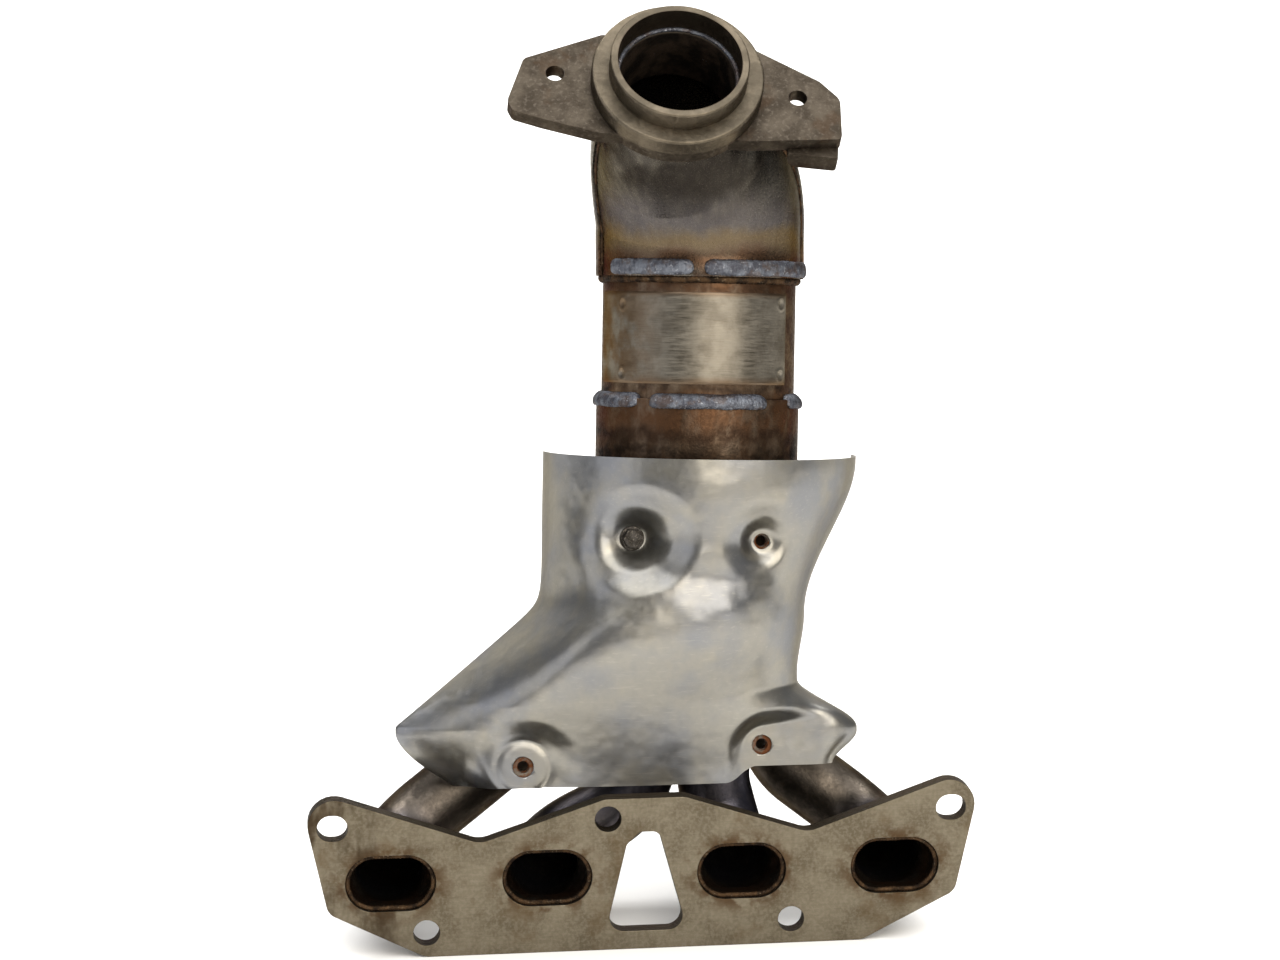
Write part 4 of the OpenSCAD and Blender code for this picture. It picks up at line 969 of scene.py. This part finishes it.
def ripple_tree():
    """Geometry nodes that raise a welder's crescents and slow lumps on a swept bead."""
    tree = bpy.data.node_groups.new("weld ripples", "GeometryNodeTree")
    face = tree.interface
    face.new_socket("Geometry", in_out="INPUT", socket_type="NodeSocketGeometry")
    for label in ("Ripple pitch", "Ripple height", "Lump height", "Lump size"):
        face.new_socket(label, in_out="INPUT", socket_type="NodeSocketFloat")
    face.new_socket("Seed", in_out="INPUT", socket_type="NodeSocketInt")
    face.new_socket("Material", in_out="INPUT", socket_type="NodeSocketMaterial")
    face.new_socket("Geometry", in_out="OUTPUT", socket_type="NodeSocketGeometry")
    given = add(tree, "NodeGroupInput").outputs
    along = add(tree, "GeometryNodeInputNamedAttribute", {"data_type": "FLOAT"}, {"Name": "along"})
    across = add(tree, "GeometryNodeInputNamedAttribute", {"data_type": "FLOAT"}, {"Name": "across"})
    spot = add(tree, "GeometryNodeInputPosition")
    bent = add(tree, "ShaderNodeMath", {"operation": "MULTIPLY"},
               {0: across.outputs["Attribute"], 1: across.outputs["Attribute"]})
    steps = add(tree, "ShaderNodeMath", {"operation": "DIVIDE"},
                {0: along.outputs["Attribute"], 1: given["Ripple pitch"]})
    wobble = add(tree, "ShaderNodeTexNoise", {"noise_dimensions": "4D"},
                 {"Vector": spot, "W": given["Seed"], "Scale": 160.0, "Detail": 1.0})
    phase = add(tree, "ShaderNodeMath", {"operation": "MULTIPLY_ADD"}, {0: bent, 1: 0.55, 2: steps})
    phase = add(tree, "ShaderNodeMath", {"operation": "ADD"}, {0: phase, 1: wobble.outputs["Fac"]})
    wave = add(tree, "ShaderNodeMath", {"operation": "SINE"},
               {0: add(tree, "ShaderNodeMath", {"operation": "MULTIPLY"}, {0: phase, 1: math.pi})})
    crescent = add(tree, "ShaderNodeMath", {"operation": "SUBTRACT"},
                   {0: add(tree, "ShaderNodeMath", {"operation": "ABSOLUTE"}, {0: wave}), 1: 0.55})
    ripple = add(tree, "ShaderNodeMath", {"operation": "MULTIPLY"},
                 {0: crescent, 1: given["Ripple height"]})
    size = add(tree, "ShaderNodeMath", {"operation": "DIVIDE"}, {0: 1.0, 1: given["Lump size"]})
    lumps = add(tree, "ShaderNodeTexNoise", {"noise_dimensions": "4D"},
                {"Vector": spot, "W": given["Seed"], "Scale": size, "Detail": 3.0, "Roughness": 0.55})
    swell = add(tree, "ShaderNodeMath", {"operation": "SUBTRACT"}, {0: lumps.outputs["Fac"], 1: 0.5})
    swell = add(tree, "ShaderNodeMath", {"operation": "MULTIPLY"}, {0: swell, 1: given["Lump height"]})
    raised = add(tree, "ShaderNodeMath", {"operation": "ADD"}, {0: ripple, 1: swell})
    out = add(tree, "ShaderNodeVectorMath", {"operation": "SCALE"},
              {0: add(tree, "GeometryNodeInputNormal"), "Scale": raised})
    moved = add(tree, "GeometryNodeSetPosition", None, {"Geometry": given["Geometry"], "Offset": out})
    real = add(tree, "GeometryNodeRealizeInstances", None, {"Geometry": moved})
    done = add(tree, "GeometryNodeSetMaterial", None, {"Geometry": real, "Material": given["Material"]})
    add(tree, "NodeGroupOutput", None, {"Geometry": done})
    return tree


def weld(node, lines, half, crown_h, root, kind="bead", lumps=1.0, ripples=1.0, size_mm=7.0, seed=0):
    """One rippled bead, or one group of beads, that stands for this node."""
    name = node + "_laid"
    given = bpy.context.scene.manifold_sizes
    swept = bead_mesh(name + "_swept", lines, half, crown_h, root)
    source = bpy.data.objects.new(swept.name, swept)
    bpy.context.scene.collection.objects.link(source)
    tree = bpy.data.node_groups.get("weld ripples") or ripple_tree()
    modifier = source.modifiers.new("ripples", "NODES")
    modifier.node_group = tree
    values = {"Ripple pitch": given.ripple_pitch, "Ripple height": given.ripple_height * ripples,
              "Lump height": given.lump_height * lumps, "Lump size": size_mm * MM,
              "Seed": given.seed + seed, "Material": finish_named(kind)}
    for item in tree.interface.items_tree:
        if item.item_type == "SOCKET" and item.in_out == "INPUT" and item.name in values:
            modifier[item.identifier] = values[item.name]
    bpy.context.view_layer.update()
    ready = source.evaluated_get(bpy.context.evaluated_depsgraph_get())
    me = bpy.data.meshes.new_from_object(ready)
    me.name = name
    source.modifiers.remove(modifier)
    bpy.data.objects.remove(source)
    me.shade_smooth()
    return piece(name, me, finish_named(kind), [node])


# ================= the pieces =================

class MANIFOLD_OT_shield(bpy.types.Operator):
    """Presses the heat shield with its two cups, its pad and its tab"""
    bl_idname = "manifold.shield"
    bl_label = "Heat shield"

    def execute(self, context):
        t = context.scene.manifold_sizes.sheet_t / MM
        cols, rows = 211, 191
        back, front = shield_grid(cols, rows, t)
        me = mesh_of("shield_sheet", both(back, front), sheet_faces(rows, cols), 50)
        ob = piece("heat_shield_pressed", me, finish_named("sheet"), ["heat_shield"])
        drills = []
        for c, d in zip(CUPS, CUP_HOLES):
            q = np.linspace(0, 2 * np.pi, 48, endpoint=False)
            near_end = place(CAN, c[0] + d / 2 * np.cos(q), c[1] - 9, c[2] + d / 2 * np.sin(q))
            far_end = place(CAN, c[0] + d / 2 * np.cos(q), c[1] + 7, c[2] + d / 2 * np.sin(q))
            faces = grid_quads(2, 48, wrap_cols=True) + [list(range(48))[::-1], list(range(48, 96))]
            drills.append((np.concatenate([near_end, far_end]), faces))
        drill = bpy.data.objects.new("drill", joined("drill", drills))
        context.scene.collection.objects.link(drill)
        cut = ob.modifiers.new("holes", "BOOLEAN")
        cut.object, cut.operation, cut.solver = drill, "DIFFERENCE", "EXACT"
        context.view_layer.update()
        made = bpy.data.meshes.new_from_object(ob.evaluated_get(context.evaluated_depsgraph_get()))
        ob.modifiers.remove(cut)
        ob.data = made
        made.name = "heat_shield_pressed"
        bpy.data.objects.remove(drill)
        if len(made.polygons) < cols * rows:
            raise RuntimeError("the shield's holes could not be cut")
        return {"FINISHED"}


class MANIFOLD_OT_elbow(bpy.types.Operator):
    """Presses the two halves of the outlet elbow"""
    bl_idname = "manifold.elbow"
    bl_label = "Elbow shells"

    def execute(self, context):
        elbow_line(np.zeros(1))
        rows = 121
        t = np.concatenate([np.linspace(0, 5, 16), np.linspace(5, elbow_line.length, rows - 15)[1:]])
        for name, q0, q1, d0, d1, cols in (("elbow_rear", -LAP_OUT, 180 + LAP_OUT, 0.0, CUP_WALL, 141),
                                           ("elbow_front", 180 - LAP_IN, 360 + LAP_IN, CUP_WALL + 0.05,
                                            2 * CUP_WALL, 141)):
            q = np.linspace(q0, q1, cols)
            outer = elbow_skin(t[:, None], q[None, :], d0)
            inner = elbow_skin(t[:, None], q[None, :], d1)
            me = mesh_of(name, both(outer, inner), sheet_faces(rows, cols), 50)
            piece(name + "_pressed", me, finish_named("elbow"), [name])
        return {"FINISHED"}


class MANIFOLD_OT_runners(bpy.types.Operator):
    """Bends and flares the four runner tubes"""
    bl_idname = "manifold.runners"
    bl_label = "Runner tubes"

    def execute(self, context):
        for n in range(4):
            line = rounded_line(*runner_route(n))
            outer, inner = tube_grid(line, 0.0), tube_grid(line, RUNNER_WALL)
            rows, cols = outer.shape[:2]
            off = rows * cols
            faces = grid_quads(rows, cols, wrap_cols=True)
            faces += grid_quads(rows, cols, wrap_cols=True, first=off, flip=True)
            for j, flip in ((0, False), (rows - 1, True)):
                a = [j * cols + i for i in range(cols)]
                for x, y in zip(a, a[1:] + a[:1]):
                    face = [y, x, off + x, off + y]
                    faces.append(face[::-1] if flip else face)
            node = f"runner_{n + 1}"
            me = mesh_of(node + "_bent", both(outer, inner), faces, 50)
            piece(node + "_bent", me, finish_named("tube"), [node])
        return {"FINISHED"}


class MANIFOLD_OT_head_flange(bpy.types.Operator):
    """Mills the head flange and breaks its edges"""
    bl_idname = "manifold.head_flange"
    bl_label = "Head flange"

    def execute(self, context):
        width = context.scene.manifold_sizes.edge_break
        broken_edges("head_flange", width, finish_named("plate"))
        return {"FINISHED"}


class MANIFOLD_OT_outlet(bpy.types.Operator):
    """Turns the outlet flange and its neck tube"""
    bl_idname = "manifold.outlet"
    bl_label = "Outlet flange and neck"

    def execute(self, context):
        width = context.scene.manifold_sizes.edge_break
        broken_edges("outlet_flange", width, finish_named("forging"))
        section = rounded_section(NECK_R - NECK_WALL, NECK_R, NECK_LO, LEDGE, 0.5)
        me = joined("outlet_neck_turned", [lathe(section, OUTLET)], 50)
        piece("outlet_neck_turned", me, finish_named("bore"), ["outlet_neck"])
        return {"FINISHED"}


class MANIFOLD_OT_converter(bpy.types.Operator):
    """Rolls the converter shell, its inlet sleeve and its tag, and finishes what they hold"""
    bl_idname = "manifold.converter"
    bl_label = "Converter"

    def execute(self, context):
        for node, r0, r1, low, high, edge in (
                ("converter_shell", SHELL_RI, SHELL_R, SHELL_LO, SHELL_HI, 0.3),
                ("inlet_sleeve", SLEEVE_RI, SLEEVE_R, SLEEVE_LO, 0.0, 0.8)):
            me = joined(node + "_rolled", [lathe(rounded_section(r0, r1, low, high, edge), CAN, 256)], 50)
            piece(node + "_rolled", me, finish_named("shell"), [node])
        broken_edges("collector", 0.0006, finish_named("shell"))
        self.tag()
        coat(["monolith"], "ceramic")
        coat(["support_mat"], "fibre")
        coat(["mat_seal_inlet", "mat_seal_outlet"], "wire")
        return {"FINISHED"}

    def tag(self):
        """A thin tag wrapped round the shell, held by four spot welds."""
        cols, rows = 221, 101
        first, last, low, high = -84, 54, 8.5, 61
        q, s = np.meshgrid(np.radians(np.linspace(first, last, cols)), np.linspace(low, high, rows))
        arc = q * SHELL_R
        left, right = math.radians(first) * SHELL_R, math.radians(last) * SHELL_R
        rim = np.minimum(np.minimum(arc - left, right - arc), np.minimum(s - low, high - s))
        lift = 0.8 - 0.45 * (1 - ramp(rim, 0, 0.9))
        for a, z in ((left + 26, 14), (left + 26, 54), (right - 6, 14), (right - 6, 55)):
            far = np.hypot(arc - a, s - z)
            lift = lift - 0.5 * (1 - ramp(far, 0.8, 2.6)) + 0.25 * np.exp(-((far - 3.4) / 0.8) ** 2)
        lift = np.minimum(lift + 0.10 * np.sin(arc / 9.0) * ramp(rim, 0, 8), 0.95)
        front, back = (place(CAN, r * np.sin(q), -r * np.cos(q), s)
                       for r in (SHELL_R + 0.02 + lift, SHELL_R + 0.02 + 0 * lift))
        me = mesh_of("data_plate_wrapped", both(front, back), sheet_faces(rows, cols), 50)
        piece("data_plate_wrapped", me, finish_named("tag"), ["data_plate"])


class MANIFOLD_OT_welds(bpy.types.Operator):
    """Lays every weld bead, with its ripples"""
    bl_idname = "manifold.welds"
    bl_label = "Weld beads"

    def execute(self, context):
        self.at_ports()
        self.stitched()
        off = TUBE_OFF
        rings = [ring_line(CAN, RUNNER_R + 0.3, CUP_LO - 0.3, centre=(i, j), lean=-45)
                 for i in (-off, off) for j in (-off, off)]
        back = ring_line(OUTLET, NECK_R + 0.4, -OUTLET_T - 0.4, lean=-45)
        neck = ring_line(OUTLET, NECK_R - 0.8, LEDGE + 0.1, lean=90)
        # the root weld's dark brown is partly browned metal and partly painted shade under the elbow's
        # beads
        weld("elbow_root_weld", [ring_line(CAN, 57.4, 68.2, lean=-40)], 2.2, 1.6, 1.0, "port_bead", 0.6)
        weld("inlet_sleeve_weld", [ring_line(CAN, 58.0, -44.2, lean=-45)], 2.4, 2.0, 0.8, lumps=0.6)
        weld("collector_weld", rings, 3.0, 2.6, 0.8, lumps=0.7)
        weld("outlet_back_weld", [back], 3.0, 2.6, 0.8, lumps=0.7)
        weld("outlet_neck_weld", [neck], 1.4, 1.3, 0.6, lumps=0.4, ripples=0.6)
        self.on_elbow()
        self.round_bosses()
        return {"FINISHED"}

    def stitched(self):
        """The separate beads round the two ends of the shell: four at the sleeve, four at the elbow."""
        foot = (("inlet_bead_left", -150, -43), ("inlet_bead_front", -36, 35),
                ("inlet_bead_right", 53, 112), ("inlet_bead_rear", 122, 200))
        head = (("outlet_bead_left", -64, -11), ("outlet_bead_right", -5, 78),
                ("outlet_bead_rear_right", 105, 165), ("outlet_bead_rear_left", 190, 250))
        for beads, radius, height, lean, half, crown_h, seed in (
                (foot, 57.6, -1.2, 35, 5.0, 3.0, 0), (head, 60.8, 75.2, 4, 4.6, 2.0, 7)):
            for i, (node, q0, q1) in enumerate(beads, seed):
                weld(node, [ring_line(CAN, radius, height, q0, q1, lean=lean)], half, crown_h, 1.0,
                     lumps=1.3, size_mm=9.0, seed=i)

    def at_ports(self):
        """Beads round the tube ends inside the ports, and behind the flange."""
        q = np.linspace(0, 2 * np.pi, 240, endpoint=False)
        for n, x in enumerate(PORT_X):
            w, h = PORT_W - 2 * TUBE_FIT - RUNNER_WALL, PORT_H - 2 * TUBE_FIT - RUNNER_WALL
            ox, oz = obround(w, h, q)
            line = np.stack([x + ox, 3.4 + 0 * q, oz - PORT_DROP], -1)
            crown = np.tile([0.0, -1.0, 0.0], (len(q), 1))
            weld(f"port_weld_{n + 1}", [(line, crown, True)], 1.5, 1.5, 0.6, "port_bead", 0.45, 0.8,
                 seed=20 + n)
            ox, oz = obround(w + 2.2, h + 2.2, q)
            line = np.stack([x + ox, FLANGE_T + 0.3 + 0 * q, oz - PORT_DROP], -1)
            out = unit(np.stack([ox, 0 * q, oz], -1)) + np.array([0.0, 1.0, 0.0])
            weld(f"runner_weld_{n + 1}", [(line, unit(out), True)], 2.0, 1.7, 0.8, lumps=0.6, seed=30 + n)

    def on_elbow(self):
        """The two seams where the elbow's halves lap."""
        elbow_line(np.zeros(1))
        t = np.arange(6, elbow_line.length - 6, 0.7)
        past = LAP_OUT + 1.6
        for node, q in (("elbow_seam_left", 180 + past), ("elbow_seam_right", 360 - past)):
            line = elbow_skin(t, q, CUP_WALL - 0.1)
            crown = unit(line - elbow_line(t)[0])
            weld(node, [(line, crown, False)], 1.6, 0.9, 0.6, "port_bead", 0.3, 0.6)

    def round_bosses(self):
        """Fillets round the two sensor bosses."""
        q = np.linspace(0, 2 * np.pi, 130, endpoint=False)
        for name, matrix in (("upstream", upstream_boss()), ("downstream", downstream_boss())):
            ring = place(matrix, (BOSS_R + 0.4) * np.cos(q), (BOSS_R + 0.4) * np.sin(q), 0)
            axis = np.array(matrix)[:3, 2]
            middle = np.array(matrix)[:3, 3]
            if name == "upstream":
                flat = place(CAN.inverted(), *np.moveaxis(ring, -1, 0))
                grow = (CUP_R + 0.6) / np.hypot(flat[:, 0], flat[:, 1])
                ring = place(CAN, flat[:, 0] * grow, flat[:, 1] * grow, flat[:, 2])
            else:
                ring = ring + axis * 1.6
            out = unit(ring - middle - ((ring - middle) @ axis)[:, None] * axis) + axis
            weld(f"sensor_boss_weld_{name}", [(ring, unit(out), True)], 2.2, 1.8, 1.0, lumps=0.5)


def upstream_boss():
    """Frame of the upstream boss: z outwards from the collector's wall."""
    turn = Matrix.Rotation(math.radians(SENSOR_Q - 90), 4, "Z")
    return (CAN @ Matrix.Translation((0, 0, SENSOR_LO)) @ turn @ Matrix.Translation((CUP_R, 0, 0))
            @ Matrix.Rotation(math.radians(90), 4, "Y"))


def downstream_boss():
    """Frame of the downstream boss: z outwards from the rear of the elbow."""
    t = np.array([58.0])
    base = elbow_skin(t, 90.0, 0.0)[0]
    out = base - elbow_line(t)[0][0]
    out[0] = 0
    w = Vector(unit(out))
    x = Vector((1, 0, 0))
    y = w.cross(x)
    m = Matrix((x, y, w)).transposed().to_4x4()
    return Matrix.Translation(base) @ m


class MANIFOLD_OT_sensor_bosses(bpy.types.Operator):
    """Turns the two sensor bosses and cuts their threads"""
    bl_idname = "manifold.sensor_bosses"
    bl_label = "Sensor bosses"

    def execute(self, context):
        around, pitch, depth, chamfer = 72, 1.5, 0.8, 0.8
        for node, matrix, seat in (("sensor_boss_upstream", upstream_boss(), -3.6),
                                   ("sensor_boss_downstream", downstream_boss(), 1.5)):
            z = np.arange(seat, BOSS_H - 0.6, 0.25)
            q = np.linspace(0, 2 * np.pi, around, endpoint=False)
            turn = z[:, None] / pitch - q[None, :] / (2 * np.pi)
            tooth = np.abs((turn % 1.0) * 2 - 1)
            rows = [(BOSS_HOLE + depth * t, h) for t, h in zip(tooth, z)]
            rows += [(BOSS_HOLE + 1.4, BOSS_H), (BOSS_R - chamfer, BOSS_H), (BOSS_R, BOSS_H - chamfer),
                     (BOSS_R, seat)]
            p = np.concatenate([place(matrix, r * np.cos(q), r * np.sin(q), h) for r, h in rows])
            faces = grid_quads(len(rows), around, wrap_rows=True, wrap_cols=True)
            piece(node + "_turned", mesh_of(node + "_turned", p, faces, 30), finish_named("forging"),
                  [node])
        return {"FINISHED"}


class MANIFOLD_OT_fixings(bpy.types.Operator):
    """Finishes the shield's brackets, nuts and bolt"""
    bl_idname = "manifold.fixings"
    bl_label = "Shield fixings"

    def execute(self, context):
        for k in range(1, 5):
            broken_edges(f"shield_bracket_{k}", 0.0004, finish_named("rusted"))
            broken_edges(f"shield_nut_{k}", 0.0004, finish_named("rusted"))
        broken_edges("shield_bolt", 0.0004, finish_named("bolt"))
        return {"FINISHED"}


class MANIFOLD_OT_stage(bpy.types.Operator):
    """Sets the floor, the lights and the camera"""
    bl_idname = "manifold.stage"
    bl_label = "Stage"

    def execute(self, context):
        scene = context.scene
        low = CAD_BOX[0][2]
        bend, back = 1.4, 2.6
        arc = [math.radians(a) for a in range(6, 91, 6)]
        y = [-6.0, back] + [back + bend * math.sin(a) for a in arc] + [back + bend]
        z = [low, low] + [low + bend - bend * math.cos(a) for a in arc] + [low + 6.0]
        verts = [(x, b, c) for b, c in zip(y, z) for x in (-8.0, 8.0)]
        me = bpy.data.meshes.new("floor")
        me.from_pydata(verts, [], grid_quads(len(y), 2))
        me.shade_smooth()
        me.materials.append(finish_named("paint"))
        floor = bpy.data.objects.new("floor", me)
        scene.collection.objects.link(floor)
        world = bpy.data.worlds.new("soft room")
        world.use_nodes = True
        sky = world.node_tree.nodes["Background"]
        sky.inputs["Color"].default_value = rgba("#F2F3F5")
        sky.inputs["Strength"].default_value = 0.27
        scene.world = world
        scene.view_settings.view_transform = "Standard"
        for name, spot, aim, size, power, tone in (
                ("key", (0.75, -2.3, 1.5), (0.02, 0, 0.2), (2.6, 2.4), 78, "#FFF8EC"),
                ("left", (-2.4, -0.9, 0.9), (0, 0, 0.15), (1.6, 1.8), 11, "#F0F2FA"),
                ("top", (0.0, -0.3, 3.2), (0, 0.2, 0), (4.2, 4.2), 150, "#FFFFFF"),
                ("backdrop", (0.0, 1.3, 3.0), (0, 3.6, 0.4), (4.0, 1.0), 170, "#FFFFFF")):
            lamp = bpy.data.lights.new(name, "AREA")
            lamp.shape, lamp.size, lamp.size_y, lamp.energy = "RECTANGLE", size[0], size[1], power
            lamp.color = linear(tone)
            ob = bpy.data.objects.new(name, lamp)
            ob.location = spot
            ob.rotation_euler = (Vector(aim) - Vector(spot)).to_track_quat("-Z", "Y").to_euler()
            scene.collection.objects.link(ob)
        lens = bpy.data.cameras.new("camera")
        lens.lens, lens.sensor_width = 89.5, 36.0
        lens.clip_end = 50
        camera = bpy.data.objects.new("camera", lens)
        camera.location = (-0.1975, -1.7091, 0.5611)
        camera.rotation_euler = Vector((0.1107, 0.9719, -0.2079)).to_track_quat("-Z", "Y").to_euler()
        scene.collection.objects.link(camera)
        scene.camera = camera
        return {"FINISHED"}


class MANIFOLD_PT_panel(bpy.types.Panel):
    """Lists the pieces of the manifold"""
    bl_label = "Exhaust manifold"
    bl_idname = "MANIFOLD_PT_panel"
    bl_space_type = "VIEW_3D"
    bl_region_type = "UI"
    bl_category = "Manifold"

    def draw(self, context):
        for group in (context.scene.manifold_sizes, context.scene.manifold_colours):
            for label in group.bl_rna.properties.keys():
                if label not in ("rna_type", "name"):
                    self.layout.prop(group, label)
        for op in OPERATORS:
            self.layout.operator(op.bl_idname)


OPERATORS = (MANIFOLD_OT_head_flange, MANIFOLD_OT_runners, MANIFOLD_OT_converter, MANIFOLD_OT_elbow,
             MANIFOLD_OT_outlet, MANIFOLD_OT_shield, MANIFOLD_OT_fixings, MANIFOLD_OT_sensor_bosses,
             MANIFOLD_OT_welds, MANIFOLD_OT_stage)
CLASSES = (ManifoldSizes, ManifoldColours, *OPERATORS, MANIFOLD_PT_panel)


def register():
    for c in CLASSES:
        bpy.utils.register_class(c)
    bpy.types.Scene.manifold_sizes = PointerProperty(type=ManifoldSizes)
    bpy.types.Scene.manifold_colours = PointerProperty(type=ManifoldColours)


def unregister():
    del bpy.types.Scene.manifold_colours
    del bpy.types.Scene.manifold_sizes
    for c in reversed(CLASSES):
        bpy.utils.unregister_class(c)


def main():
    register()
    for op in OPERATORS:
        group, name = op.bl_idname.split(".")
        getattr(getattr(bpy.ops, group), name)()
    bpy.context.view_layer.update()


if __name__ == "__main__":
    main()
